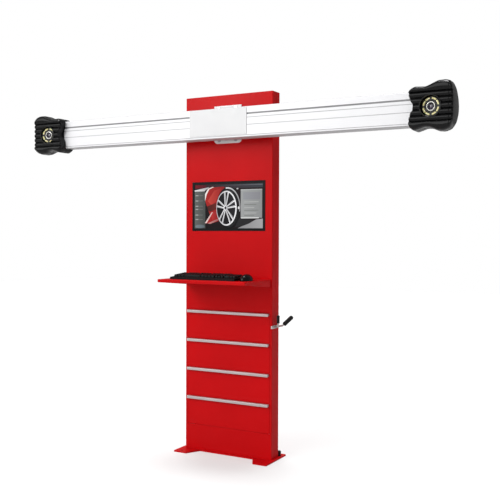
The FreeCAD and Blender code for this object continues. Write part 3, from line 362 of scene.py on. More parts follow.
# One per material slot
MATERIALS = {
    "red_paint": enamel("red_enamel", (0.50, 0.0018, 0.0034), (0.60, 0.0026, 0.0048)),
    "white_paint": enamel("white_enamel", (0.78, 0.78, 0.79), (0.86, 0.86, 0.86)),
    "grey_paint": enamel("grey_enamel", (0.10, 0.105, 0.11), (0.14, 0.145, 0.15), coat=0.1),
    "black_steel": enamel("black_steel", (0.010, 0.010, 0.011), (0.020, 0.020, 0.022), rough=(0.35, 0.5)),
    "computer_grey": enamel("computer_grey", (0.030, 0.030, 0.033), (0.05, 0.05, 0.054),
                            rough=(0.45, 0.6), coat=0.0),
    # The pinkish tint in this silver is a painted reflection of the red panel around the drawer pulls.
    "anodised_aluminium": brushed("anodised_aluminium", (0.42, 0.37, 0.37), (0.62, 0.56, 0.56),
                                  rough=(0.32, 0.45), metallic=0.6),
    "plate_silver": brushed("plate_silver", (0.63, 0.63, 0.64), (0.68, 0.68, 0.68),
                            rough=(0.42, 0.55), metallic=0.25),
    "zinc_steel": brushed("zinc_steel", (0.42, 0.43, 0.45), (0.62, 0.63, 0.65), along=(0.3, 1.0, 1.0)),
    "hook_steel": brushed("hook_steel", (0.50, 0.46, 0.45), (0.74, 0.70, 0.69), along=(1.0, 0.02, 1.0)),
    "chrome": brushed("chrome_plate", (0.72, 0.72, 0.73), (0.82, 0.82, 0.83), rough=(0.08, 0.16)),
    "pod_plastic": moulded("pod_plastic", (0.0016, 0.0016, 0.0018), rough=(0.20, 0.28),
                           grain=900.0, depth=0.03, spread=1.3, specular=0.26),
    "camera_black": moulded("camera_black", (0.012, 0.012, 0.013), rough=(0.5, 0.62)),
    "monitor_black": moulded("monitor_black", (0.0022, 0.0022, 0.0026), rough=(0.30, 0.40),
                             grain=2200.0, specular=0.12),
    "keyboard_black": moulded("keyboard_black", (0.003, 0.003, 0.0034), rough=(0.38, 0.50),
                              grain=1800.0, specular=0.15),
    "key_black": moulded("key_black", (0.0032, 0.0032, 0.0036), rough=(0.36, 0.50),
                         grain=2400.0, specular=0.15),
    "mouse_black": moulded("mouse_black", (0.0025, 0.0025, 0.0028), rough=(0.18, 0.26),
                           grain=2600.0, depth=0.03, specular=0.25),
    "rubber": moulded("black_rubber", (0.0045, 0.0045, 0.0045), rough=(0.45, 0.62),
                      grain=700.0, specular=0.25),
    "cable_black": moulded("cable_black", (0.012, 0.012, 0.012), rough=(0.5, 0.65), grain=600.0),
    "inlet_black": moulded("inlet_black", (0.011, 0.011, 0.012), rough=(0.4, 0.5)),
    "led_gold": lamp_material(),
    "lens_glass": lens_material(),
    "screen": picture_material(),
}
BEAM_PAINT = beam_material()
LENS_SILVER = brushed("lens_silver", (0.30, 0.30, 0.28), (0.55, 0.55, 0.52),
                      along=(1.0, 1.0, 1.0), rough=(0.16, 0.30))


# -------- mesh helpers
def new_object(name, verts, faces):
    mesh = bpy.data.meshes.new(name)
    mesh.from_pydata([tuple(v) for v in verts], [], [tuple(f) for f in faces])
    made = bpy.data.objects.new(name, mesh)
    SCENE.collection.objects.link(made)
    return made


def tidy_mesh(obj, angle=38.0):
    """Weld, face outwards and shade smooth up to that angle."""
    bm = bmesh.new()
    bm.from_mesh(obj.data)
    bmesh.ops.remove_doubles(bm, verts=bm.verts, dist=WELD)
    bmesh.ops.recalc_face_normals(bm, faces=bm.faces)
    bm.to_mesh(obj.data)
    bm.free()
    obj.data.polygons.foreach_set("use_smooth", [True] * len(obj.data.polygons))
    obj.data.set_sharp_from_angle(angle=math.radians(angle))
    return obj


def dress(obj, material, node):
    """Material and body of a piece that stands in for a CAD node, whose own mesh is hidden."""
    obj.data.materials.append(material)
    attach(obj, BODY_OF[node])
    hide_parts(node)


def lathe(profile, centre=(0, 0, 0), segments=96):
    """Solid turned about an axis along Y; the (radius, y) profile ends where it starts, or on the axis."""
    verts, faces = [], []
    for k in range(segments):
        a = 2 * math.pi * k / segments
        verts += [(centre[0] + r * math.cos(a), centre[1] + y, centre[2] + r * math.sin(a))
                  for r, y in profile]
    n = len(profile)
    for k in range(segments):
        for j in range(n - 1):
            a, b = k * n + j, (k + 1) % segments * n + j
            faces.append((a, a + 1, b + 1, b))
    return verts, faces


def joined(*parts):
    """Several (verts, faces) as one."""
    verts, faces = [], []
    for part_verts, part_faces in parts:
        shift = len(verts)
        verts += list(part_verts)
        faces += [tuple(i + shift for i in face) for face in part_faces]
    return verts, faces


def slab(low, high):
    """Closed box from its two corners."""
    verts = [(x, y, z) for x in (low.x, high.x) for y in (low.y, high.y) for z in (low.z, high.z)]
    faces = [(0, 1, 3, 2), (4, 6, 7, 5), (0, 4, 5, 1), (2, 3, 7, 6), (0, 2, 6, 4), (1, 5, 7, 3)]
    return verts, faces


def apply_modifiers(obj):
    """Turn a new piece's modifiers into its mesh."""
    bpy.context.view_layer.update()
    evaluated = obj.evaluated_get(bpy.context.evaluated_depsgraph_get())
    obj.data = bpy.data.meshes.new_from_object(evaluated)
    obj.modifiers.clear()


def add_to_mesh(obj, verts, faces):
    """Add more faces to a new piece."""
    extra = bpy.data.meshes.new("extra")
    extra.from_pydata(verts, [], faces)
    bm = bmesh.new()
    bm.from_mesh(obj.data)
    bm.from_mesh(extra)
    bm.to_mesh(obj.data)
    bm.free()
    bpy.data.meshes.remove(extra)


def cut_by(obj, verts, faces):
    """Subtract a closed shape."""
    cutter = tidy_mesh(new_object("cutter", verts, faces))
    boolean = obj.modifiers.new("cut", "BOOLEAN")
    boolean.object = cutter
    boolean.solver = "EXACT"
    apply_modifiers(obj)
    bpy.data.objects.remove(cutter)


# -------- camera pods
def smooth_run(points, x, blur=0.010):
    """Value at x of the polyline through points, with its corners rounded."""
    xs, ys = [p[0] for p in points], [p[1] for p in points]
    offsets = np.linspace(-blur, blur, 9)
    weights = 1.0 + np.cos(offsets / blur * math.pi * 0.9)
    values = np.interp(x + offsets, xs, ys)
    return float((values * weights).sum() / weights.sum())


def rib_profile():
    """Front of a pod from bottom to top, as (kind, place, depth behind the foremost plane)."""
    low = []
    for phi in np.linspace(90, 0, 9):
        a = math.radians(phi)
        low.append(("low", ROLL_SHARE + (1 - ROLL_SHARE) * math.sin(a), SHOULDER_D * (1 - math.cos(a))))
    for psi in np.linspace(15, 90, 6):
        a = math.radians(psi)
        low.append(("low", ROLL_SHARE * (1 - math.sin(a)), VALLEY_D * (1 - math.cos(a))))
    ribs = []
    for rib in range(RIBS):
        for s in np.linspace(-1, 1, 9)[(0 if rib == 0 else 1):]:
            z = RIB_PITCH * (rib + 0.5 + s / 2) - RIB_EDGE
            ribs.append(("rib", z, RIB_TOP + RIB_DROP * abs(s) ** 1.7))
    high = [("high", share, depth) for _, share, depth in reversed(low)]
    return low + ribs[1:-1] + high


RIB_PROFILE = rib_profile()


def pod_section(x, inset):
    """Section of a pod at x: its front points and its back points, as pairs (y, z) of equal height."""
    top, bottom = smooth_run(POD_TOP, x) - inset, smooth_run(POD_BOTTOM, x) - inset
    share = min(1.0, max(0.0, (x - POD_INNER) / (POD_OUTER - POD_INNER)))
    bow, back_end = (near + (far - near) * share - inset for near, far in zip(BACK_IN, BACK_OUT))
    front, back = [], []
    for kind, place, depth in RIB_PROFILE:
        if kind == "low":
            z = -RIB_EDGE - place * (bottom - RIB_EDGE)
        elif kind == "high":
            z = RIB_EDGE + place * (top - RIB_EDGE)
        else:
            z = place
            depth = LINING_D if inset else depth
        height = top if z > 0 else bottom
        y_back = bow - (bow - back_end) * min(1.0, (z / height) ** 2)
        corner = max(0.0, (abs(z) - (height - BACK_CORNER_R)) / BACK_CORNER_R)
        y_back -= BACK_CORNER_R * (1 - math.sqrt(max(0.0, 1 - corner ** 2)))
        front.append((POD_FRONT + depth + inset, z))
        back.append((y_back, z))
    return front, back


def across(y_from, y_to, z, count=6):
    """Points over the top or under the bottom, between the front and the back."""
    return [(y_from + (y_to - y_from) * k / count, z) for k in range(1, count)]


def pod_outline(kind, front, back):
    """Points (y, z) along one section of a front shell, rear shell or end cap."""
    top, bottom = front[-1][1], front[0][1]
    if kind == "cap":
        return (front + across(front[-1][0], back[-1][0], top) + back[::-1]
                + across(back[0][0], front[0][0], bottom))
    if kind == "rear":
        seam = POD_SPLIT_Y + POD_GAP
        return ([(seam, top - LIP_D), (seam + LIP_W, top)]
                + across(POD_SPLIT_Y, back[-1][0], top)[1:] + back[::-1]
                + across(back[0][0], POD_SPLIT_Y, bottom)[:-1]
                + [(seam + LIP_W, bottom), (seam, bottom + LIP_D)])
    seam = POD_SPLIT_Y - POD_GAP
    return ([(seam, bottom + LIP_D), (seam - LIP_W, bottom), ((POD_SPLIT_Y + front[0][0]) / 2, bottom)]
            + front
            + [((POD_SPLIT_Y + front[-1][0]) / 2, top), (seam - LIP_W, top), (seam, top - LIP_D)])


def pod_stations(kind, wall):
    """x and extra inset of a pod's sections: a bevel at its joint, a round edge at its closed end."""
    if kind == "cap":
        start, end, edge = POD_JOINT + POD_GAP, POD_OUTER - wall, CAP_EDGE_R
        plain = [(x, 0.0) for x in np.linspace(start, end - edge, 4)[1:]]
        rounds = [(end - edge + edge * math.sin(a), edge * (1 - math.cos(a)))
                  for a in np.linspace(0, math.pi / 2, 8)[1:]]
        return [(start, LIP_D), (start + LIP_W, 0.0)] + plain + rounds
    start, end, edge = POD_INNER + wall, POD_JOINT, SHELL_EDGE_R
    rounds = [(start + edge * (1 - math.sin(a)), edge * (1 - math.cos(a)))
              for a in np.linspace(math.pi / 2, 0, 7)]
    plain = [(x, 0.0) for x in np.linspace(start + edge, end - LIP_W, 46)[1:]]
    return rounds + plain + [(end, LIP_D)]


def pod_point(kind, x, y, z, inset):
    """A section's point in its final place, moved inwards by the round edge of a closed end."""
    depth_share = max(-1, min(1, (y - POD_MIDDLE_Y) / POD_HALF_DEPTH))
    inward = Vector((depth_share ** 3, (z / POD_HALF_HEIGHT) ** 3))
    if kind != "cap" and abs(y - POD_SPLIT_Y) < 0.01:
        inward.x = 0.0                  # the shells' joint stays in its plane
    if inward.length > 1e-9:
        inward = inward.normalized() * inset
    waist = WAIST_D * math.exp(-((z - WAIST_MIDDLE) / WAIST_HALF) ** 2)
    fade = max(0.0, 1 - (x - POD_INNER) / WAIST_FADE) ** 2
    share = (x - POD_JOINT) / (POD_OUTER - POD_JOINT) if kind == "cap" else 0.0
    fall = CAP_FALL * (abs(z) / POD_HALF_HEIGHT) ** 2.5
    return POD_X + x + waist * fade - share * fall, y - inward.x, POD_Z + z - inward.y


def cap_end(last, n):
    """Faces over the outer end: strips between the front and the back, and one at the top and bottom."""
    m = len(RIB_PROFILE)
    deck = n // 2 - m
    faces = [(last + j, last + j + 1, last + n - deck - 2 - j, last + n - deck - 1 - j) for j in range(m - 1)]
    faces.append(tuple(last + j for j in range(m - 1, n - deck - m + 1)))
    faces.append(tuple(last + j % n for j in range(n - deck - 1, n + 1)))
    return faces


def shell_end(kind, row, first_new):
    """Wall of a shell's inner end, straight back to the joint: its new points and its faces."""
    n = len(row)
    seam_y = POD_SPLIT_Y + (-POD_GAP if kind == "front" else POD_GAP)
    lead, tail = 3, n - 4
    if kind == "rear":
        lead = next(j for j in range(2, n) if row[j][2] < row[1][2] - 1e-5)
        tail = next(j for j in range(n - 1, 0, -1) if row[j - 1][2] > row[n - 2][2] + 1e-5)
    seam = list(range(first_new, first_new + tail + 1 - lead))
    verts = [(x, seam_y, z) for x, _, z in row[lead:tail + 1]]
    faces = [(lead + k, lead + k + 1, seam[k + 1], seam[k]) for k in range(len(seam) - 1)]
    faces.append((*range(0, lead + 1), seam[0]))
    faces.append((*range(tail, n), seam[-1]))
    return verts, faces


def pod_surface(kind, wall):
    """Open skin of a front shell, rear shell or end cap, closed at its own end only."""
    rows = []
    for x, inset in pod_stations(kind, wall):
        outline = pod_outline(kind, *pod_section(x, wall))
        rows.append([pod_point(kind, x, y, z, inset) for y, z in outline])
    n = len(rows[0])
    verts, faces = [v for row in rows for v in row], []
    for i in range(len(rows) - 1):
        for j in range(n if kind == "cap" else n - 1):
            a, b = i * n + j, i * n + (j + 1) % n
            faces.append((a, b, b + n, a + n))
    if kind == "cap":
        return verts, faces + cap_end((len(rows) - 1) * n, n)
    wall_verts, wall_faces = shell_end(kind, rows[0], len(verts))
    return verts + wall_verts, faces + wall_faces


def pod_shell(kind):
    """Outer and inner skin, joined by a rim along every open edge."""
    outer, outer_faces = pod_surface(kind, 0.0)
    inner, inner_faces = pod_surface(kind, POD_WALL)
    n = len(outer)
    edges = [(a, b) for face in outer_faces for a, b in zip(face, face[1:] + face[:1])]
    uses = Counter(frozenset(edge) for edge in edges)
    rim = [(b, a, a + n, b + n) for a, b in edges if uses[frozenset((a, b))] == 1]
    return outer + inner, outer_faces + [tuple(i + n for i in face[::-1]) for face in inner_faces] + rim


def camera_pods():
    """Front shell with a collar round its window, rear shell and end cap of both pods."""
    axis = (POD_X, 0.0, POD_Z)
    plug = [(0.0, WINDOW_Y[0]), (WINDOW_R, WINDOW_Y[0]), (WINDOW_R, WINDOW_Y[1]), (0.0, WINDOW_Y[1])]
    for kind, node in (("front", "pod_front_shell_"), ("rear", "pod_rear_shell_"), ("cap", "pod_end_cap_")):
        right = tidy_mesh(new_object(f"visual_{node}right", *pod_shell(kind)), 50.0)
        if kind == "front":
            cut_by(right, *lathe(plug, axis))
            add_to_mesh(right, *lathe(COLLAR, axis))
            tidy_mesh(right, 50.0)
        left = bpy.data.objects.new(f"visual_{node}left", right.data.copy())
        SCENE.collection.objects.link(left)
        left.data.transform(Matrix.Diagonal((-1.0, 1.0, 1.0, 1.0)))
        left.data.flip_normals()
        tidy_mesh(left, 50.0)
        dress(right, MATERIALS["pod_plastic"], node + "right")
        dress(left, MATERIALS["pod_plastic"], node + "left")


# -------- camera heads
def lamp(start, end, steps=14):
    """Domed lamp between two angles of the ring: a short arc, narrower and lower at its ends."""
    middle, half = sum(LAMP_RADII) / 2, (LAMP_RADII[1] - LAMP_RADII[0]) / 2
    y_back, y_front = LAMP_Y
    section = [(middle - half * math.cos(a), y_back + (y_front - y_back) * math.sin(a) ** 0.6)
               for a in np.linspace(0, math.pi, 9)]
    verts, faces = [], []
    n = len(section)
    for k, angle in enumerate(np.linspace(start, end, steps)):
        pinch = 0.55 if k in (0, steps - 1) else 1.0
        for r, y in section:
            r, y = middle + (r - middle) * pinch, y_back + (y - y_back) * pinch
            verts.append((r * math.cos(angle), y, r * math.sin(angle)))
    for k in range(steps - 1):
        for j in range(n - 1):
            a = k * n + j
            faces.append((a, a + n, a + n + 1, a + 1))
        faces.append((k * n, k * n + n - 1, (k + 1) * n + n - 1, (k + 1) * n))
    faces.append(tuple(range(n)))
    faces.append(tuple((steps - 1) * n + j for j in range(n))[::-1])
    return verts, faces


def lamps():
    """Two lamps in each quarter of the ring."""
    length = (math.pi / 2 - LAMP_GAP_WIDE - LAMP_GAP_NARROW) / 2
    made = []
    for quarter in range(4):
        start = quarter * math.pi / 2 + LAMP_GAP_WIDE / 2
        for offset in (0.0, length + LAMP_GAP_NARROW):
            made.append(lamp(start + offset, start + offset + length))
    return joined(*made)


def lens():
    """Stepped black throat round a domed front glass."""
    throat = [(0.0172, 0.004)]
    for r in (0.0160, 0.0148, 0.0136):
        throat += [(r + 0.0006, 0.0005 + (0.0160 - r)), (r, 0.0012 + (0.0160 - r))]
    throat += [(0.0128, 0.0040), (0.0172, 0.0050), (0.0172, 0.004)]
    dome = [(0.0130 * math.sin(a), 0.0040 - 0.0062 * (math.cos(a) - 0.35))
            for a in np.linspace(0.0, math.pi / 2, 12)]
    dome.append((0.0, dome[-1][1]))
    return joined(lathe(throat), lathe(dome))


def camera_head(side, word):
    """Ring light and lens on the aiming pivot, turned towards the middle of the machine."""
    pivot = Vector(JOINTS[f"camera_{word}_aim"]["pos_m"])
    turn = Matrix.Translation(pivot) @ Matrix.Rotation(-side * TOE_IN, 4, "Z")

    def placed(name, part, angle):
        verts, faces = part
        verts = [turn @ Vector((side * x, y - FACE_AHEAD, z)) for x, y, z in verts]
        return tidy_mesh(new_object(f"{name}_{word}", verts, faces), angle)

    def on_camera(piece, material):
        piece.data.materials.append(material)
        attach(piece, f"camera_{word}")

    board = placed("ring_board", lathe(RING_BOARD), 45.0)
    dress(board, MATERIALS["camera_black"], f"led_ring_{word}")
    on_camera(placed("ring_lamps", lamps(), 40.0), MATERIALS["led_gold"])
    on_camera(placed("lens_rim", lathe(LENS_RIM), 45.0), LENS_SILVER)
    dress(placed("lens", lens(), 50.0), MATERIALS["lens_glass"], f"camera_lens_{word}")


# -------- screen picture
class Picture:
    """Flat coloured shapes laid over each other on the screen, 0..1 across and 0..1 up."""

    def __init__(self, low, high):
        self.low, self.high = low, high
        self.verts, self.faces, self.colours = [], [], []
        self.layer = 0

    def shape(self, points, colour, far_colour=None):
        """Closed tile, in one colour or shaded from colour at its left to far_colour at its right."""
        self.layer += 1
        area = sum(a[0] * b[1] - b[0] * a[1] for a, b in zip(points, points[1:] + points[:1]))
        points = points if area > 0 else points[::-1]
        left, right = min(p[0] for p in points), max(p[0] for p in points)
        start, count = len(self.verts), len(points)
        face_y = self.low.y - TILE_RISE * self.layer
        root_y = self.low.y + TILE_ROOT + TILE_ROOT_STEP * self.layer
        for y in (face_y, root_y):
            for s, t in points:
                share = (s - left) / max(right - left, 1e-6)
                mixed = [a + (b - a) * share for a, b in zip(colour, far_colour or colour)]
                s, t = min(1.0, max(0.0, s)), min(1.0, max(0.0, t))
                self.verts.append((self.low.x + s * (self.high.x - self.low.x), y,
                                   self.low.z + t * (self.high.z - self.low.z)))
                self.colours.append((*mixed, 1.0))
        self.faces.append(tuple(range(start, start + count)))
        self.faces.append(tuple(range(start + 2 * count - 1, start + count - 1, -1)))
        for k in range(count):
            a, b = start + k, start + (k + 1) % count
            self.faces.append((b, a, a + count, b + count))

    def bar(self, s0, t0, s1, t1, colour, far_colour=None):
        self.shape([(s0, t0), (s1, t0), (s1, t1), (s0, t1)], colour, far_colour)

    def oval(self, centre, radii, colour, far_colour=None, start=0.0, end=360.0, inner=0.0):
        """Ellipse, or with inner a band of it between two angles."""
        angles = [math.radians(a) for a in np.linspace(start, end, 40)]
        outer = [(centre[0] + radii[0] * math.cos(a), centre[1] + radii[1] * math.sin(a)) for a in angles]
        if not inner:
            self.shape(outer[:-1] if end - start >= 360 else outer + [centre], colour, far_colour)
            return
        inside = [(centre[0] + radii[0] * inner * math.cos(a), centre[1] + radii[1] * inner * math.sin(a))
                  for a in reversed(angles)]
        self.shape(outer + inside, colour, far_colour)


def wheel_picture(picture):
    """Silver wheel of twin spokes, its tyre showing on the far side, under a light wheel-arch edge."""
    centre, hub = np.array((0.478, 0.455)), np.array((0.464, 0.462))
    picture.oval((0.508, 0.462), (0.176, 0.470), (0.002, 0.002, 0.003), (0.006, 0.006, 0.007))
    picture.oval((0.492, 0.470), (0.186, 0.452), (0.66, 0.66, 0.68), (0.30, 0.30, 0.31), -12, 98, inner=0.93)
    picture.oval((0.500, 0.455), (0.160, 0.425), (0.020, 0.020, 0.022), (0.008, 0.008, 0.009), -90, 90,
                 inner=0.90)
    picture.oval(centre, (0.148, 0.390), (0.50, 0.50, 0.52), (0.86, 0.86, 0.88))
    picture.oval((0.473, 0.457), (0.135, 0.360), (0.004, 0.004, 0.005), (0.014, 0.013, 0.016))
    for k in range(5):
        for twin in (-1, 1):
            a = math.radians(18 + 72 * k + 11 * twin)
            far = centre + (0.138 * math.cos(a), 0.366 * math.sin(a))
            across = np.array((-0.0078 * math.sin(a), 0.018 * math.cos(a)))
            near = hub + across * twin * 0.5
            spoke = [near - across * 0.6, far - across * 1.3, far + across * 1.3, near + across * 0.6]
            picture.shape(spoke, (0.60, 0.60, 0.62), (0.92, 0.92, 0.93))
            picture.shape([near, far + across * 1.2, far], (0.34, 0.34, 0.36))
    picture.oval(hub, (0.026, 0.060), (0.80, 0.80, 0.82), (0.45, 0.45, 0.47))
    picture.oval(hub, (0.014, 0.032), (0.006, 0.006, 0.008))


def title_picture(picture):
    """Background, title bar and its plain tabs."""
    picture.bar(0.0, 0.0, 1.0, 1.0, (0.004, 0.004, 0.005), (0.016, 0.008, 0.010))
    picture.bar(0.0, 0.90, 1.0, 1.0, (0.030, 0.006, 0.010), (0.034, 0.040, 0.050))
    picture.bar(0.015, 0.912, 0.18, 0.985, (0.150, 0.004, 0.010), (0.070, 0.004, 0.012))
    picture.bar(0.36, 0.955, 0.99, 0.975, (0.020, 0.020, 0.026), (0.12, 0.12, 0.14))
    picture.oval((0.635, 0.885), (0.014, 0.016), (0.45, 0.44, 0.44))


def side_picture(picture):
    """Side bar with rows of plain marks."""
    picture.bar(0.0, 0.0, 0.165, 0.85, (0.110, 0.120, 0.112), (0.060, 0.066, 0.064))
    picture.shape([(0.0, 0.845), (0.15, 0.845), (0.205, 0.930), (0.225, 0.930), (0.165, 0.868),
                   (0.0, 0.868)],
                  (0.75, 0.75, 0.76), (0.45, 0.45, 0.46))
    for t in (0.74, 0.62, 0.50, 0.43, 0.30, 0.20):
        picture.bar(0.018, t, 0.060, t + 0.018, (0.40, 0.41, 0.40))
        picture.bar(0.070, t + 0.004, 0.130, t + 0.012, (0.19, 0.20, 0.19))
    picture.oval((0.085, 0.05), (0.070, 0.040), (0.16, 0.20, 0.22), (0.10, 0.13, 0.15))


def wing_picture(picture):
    """The car's front wing, the shade under it and its sill."""
    picture.shape([(0.165, 0.62), (0.175, 0.72), (0.215, 0.86), (0.275, 0.925), (0.43, 0.940), (0.47, 0.90),
                   (0.43, 0.84), (0.385, 0.75), (0.350, 0.62), (0.335, 0.46), (0.340, 0.30), (0.365, 0.17),
                   (0.28, 0.13), (0.165, 0.12), (0.235, 0.31), (0.200, 0.46)],
                  (0.36, 0.016, 0.014), (0.22, 0.008, 0.010))
    picture.shape([(0.20, 0.62), (0.30, 0.86), (0.40, 0.90), (0.36, 0.74), (0.33, 0.62), (0.26, 0.52)],
                  (0.50, 0.050, 0.036), (0.30, 0.014, 0.014))
    picture.shape([(0.190, 0.50), (0.325, 0.58), (0.335, 0.44), (0.235, 0.38), (0.205, 0.42)],
                  (0.050, 0.012, 0.010), (0.13, 0.016, 0.012))
    picture.shape([(0.245, 0.36), (0.335, 0.40), (0.350, 0.24), (0.270, 0.18)],
                  (0.46, 0.030, 0.028), (0.24, 0.010, 0.012))
    picture.shape([(0.160, 0.62), (0.185, 0.77), (0.225, 0.885), (0.295, 0.930), (0.275, 0.940),
                   (0.205, 0.90), (0.162, 0.78)], (0.86, 0.80, 0.78), (0.66, 0.46, 0.42))
    picture.shape([(0.160, 0.125), (0.262, 0.37), (0.280, 0.37), (0.186, 0.125)],
                  (0.78, 0.62, 0.60), (0.62, 0.40, 0.38))
    picture.shape([(0.200, 0.120), (0.345, 0.215), (0.365, 0.190), (0.240, 0.105)],
                  (0.50, 0.24, 0.23), (0.30, 0.10, 0.10))


def ground_picture(picture):
    """Pale floor and the car's shadow on it."""
    picture.shape([(0.63, 0.0), (1.0, 0.0), (1.0, 0.22), (0.90, 0.20), (0.80, 0.11), (0.69, 0.045)],
                  (0.22, 0.22, 0.23), (0.34, 0.34, 0.35))
    picture.shape([(0.60, 0.03), (0.69, 0.052), (0.80, 0.115), (0.88, 0.20), (0.66, 0.23)],
                  (0.018, 0.018, 0.020))


def panel_picture(picture):
    """Panel of plain rows, and the dot that points at it."""
    picture.oval((0.655, 0.46), (0.012, 0.030), (0.70, 0.70, 0.70))
    picture.bar(0.685, 0.235, 0.985, 0.865, (0.32, 0.33, 0.33), (0.24, 0.25, 0.25))
    picture.bar(0.685, 0.845, 0.985, 0.865, (0.46, 0.48, 0.47), (0.36, 0.37, 0.37))
    picture.bar(0.720, 0.640, 0.960, 0.800, (0.27, 0.28, 0.30), (0.22, 0.22, 0.24))
    for row, t in enumerate((0.580, 0.520, 0.455, 0.395, 0.335, 0.285)):
        shade = (0.42, 0.43, 0.42) if row % 2 == 0 else (0.17, 0.18, 0.17)
        picture.bar(0.735, t, 0.935 - 0.03 * (row % 3), t + 0.014, shade)
    picture.bar(0.690, 0.225, 0.940, 0.247, (0.66, 0.67, 0.66))


def screen_picture():
    """Generic alignment program: side bar, car with its wheel, and a panel of plain rows."""
    low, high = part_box("monitor_screen")
    picture = Picture(low, high)
    for draw in (title_picture, side_picture, wing_picture, ground_picture, wheel_picture, panel_picture):
        draw(picture)
    body, body_faces = slab(low + Vector((0.0, GLASS_SET_BACK, 0.0)), high)
    verts, faces = joined((body, body_faces), (picture.verts, picture.faces))
    glass = new_object("screen_with_picture", verts, faces)
    colour = glass.data.color_attributes.new("Picture", "FLOAT_COLOR", "POINT")
    flat = [c for vertex in [(0.004, 0.004, 0.005, 1.0)] * len(body) + picture.colours for c in vertex]
    colour.data.foreach_set("color", flat)
    dress(glass, MATERIALS["screen"], "monitor_screen")


# -------- keys
def islands(obj):
    """Points of each separate solid in a CAD node."""
    bm = bmesh.new()
    bm.from_mesh(obj.data)
    bmesh.ops.remove_doubles(bm, verts=bm.verts, dist=WELD)
    seen, groups = set(), []
    for vert in bm.verts:
        if vert in seen:
            continue
        stack, group = [vert], []
        seen.add(vert)
        while stack:
            here = stack.pop()
            group.append(here.co.copy())
            for edge in here.link_edges:
                other = edge.other_vert(here)
                if other not in seen:
                    seen.add(other)
                    stack.append(other)
        groups.append(group)
    bm.free()
    return groups


def keycap(points, slope):
    """Dished cap with rounded corners that fills one key's solid in the keyboard's sloping plane."""
    lean = Matrix.Rotation(-slope, 3, "X")
    flat = [lean @ p for p in points]
    low = [min(p[i] for p in flat) for i in range(3)]
    high = [max(p[i] for p in flat) for i in range(3)]
    middle = [(a + b) / 2 for a, b in zip(low, high)]
    half = [(b - a) / 2 for a, b in zip(low, high)]
    rise = high[2] - low[2]
    verts, faces = [], []
    for inset, share in KEY_LEVELS:
        for quarter, signs in enumerate(((1, 1), (-1, 1), (-1, -1), (1, -1))):
            for step in range(4):
                a = math.radians(90 * quarter + 30 * step)
                corner = (KEY_CORNER_R * math.cos(a), KEY_CORNER_R * math.sin(a))
                x, y = (middle[i] + signs[i] * (half[i] - inset - KEY_CORNER_R) + corner[i] for i in (0, 1))
                verts.append((x, y, low[2] + rise * share))
    verts.append((middle[0], middle[1], low[2] + rise * KEY_DISH))
    n = 16                              # points round a level: four in each corner
    for k in range(len(KEY_LEVELS) - 1):
        for j in range(n):
            a, b = k * n + j, k * n + (j + 1) % n
            faces.append((a, b, b + n, a + n))
    top = (len(KEY_LEVELS) - 1) * n
    faces += [(top + j, top + (j + 1) % n, len(verts) - 1) for j in range(n)]
    faces.append(tuple(range(n - 1, -1, -1)))
    back = lean.inverted()
    return [back @ Vector(v) for v in verts], faces


def keyboard():
    """A cap in place of every key's solid; anything smaller than a key is skipped."""
    axis = JOINTS["space_bar_press"]["axis"]
    slope = math.atan2(axis[1], -axis[2])
    for node, name in (("keyboard_keys", "key_caps"), ("space_bar", "space_bar_cap")):
        caps = []
        for points in islands(frame["nodes"][node]):
            size = max((p - points[0]).length for p in points)
            if size > SMALLEST_KEY:
                caps.append(keycap(points, slope))
        dress(tidy_mesh(new_object(name, *joined(*caps)), 42.0), MATERIALS["key_black"], node)


# -------- hook grips
def grips():
    """Rubber grips with shallow rings and a domed tip, over both prongs."""
    parts = []
    for points in islands(frame["nodes"]["hook_sleeves"]):
        cloud = np.array([tuple(p) for p in points])
        middle = cloud.mean(0)
        axis = np.linalg.svd(cloud - middle)[2][0]
        axis = axis if axis[2] > 0 else -axis
        along = (cloud - middle) @ axis
        off_axis = np.linalg.norm((cloud - middle) - np.outer(along, axis), axis=1)
        radius, length = off_axis.max() - 0.0001, along.max() - along.min()
        step = (length - radius - 0.004) / GRIP_RINGS
        profile = [(0.0, 0.0), (radius * 0.94, 0.0), (radius, 0.0010)]
        for ring in range(GRIP_RINGS):
            for width, share in ((1.0, 0.20), (0.89, 0.38), (0.89, 0.62), (1.0, 0.80)):
                profile.append((radius * width, 0.004 + step * (ring + share)))
        for a in np.linspace(0, math.pi / 2, 8):
            profile.append((radius * math.cos(a), length - radius + radius * math.sin(a)))
        verts, faces = lathe(profile, segments=40)
        turn = Vector((0, 1, 0)).rotation_difference(Vector(axis)).to_matrix()
        foot = Vector(middle + axis * along.min())
        parts.append(([turn @ Vector(v) + foot for v in verts], faces))
    dress(tidy_mesh(new_object("hook_grips", *joined(*parts)), 50.0), MATERIALS["rubber"], "hook_sleeves")


# -------- CAD nodes that stay
BEVEL_MM = {"front_panel": 0.35, "rear_panel": 0.35, "top_cap": 0.4, "base_plate": 1.0, "rear_door": 0.4,
            "shelf": 0.5, "beam_bracket": 0.8, "beam": 0.5, "name_plate": 0.3, "monitor_bezel": 0.6,
            "computer": 0.8, "keyboard_case": 0.8, "camera_body_left": 0.8, "camera_body_right": 0.8,
            "power_inlet": 0.4, "inner_frame": 0.8, "drawer_runners": 0.3, "side_hook": 0.4}
DRAWER_BEVEL_MM = 0.35


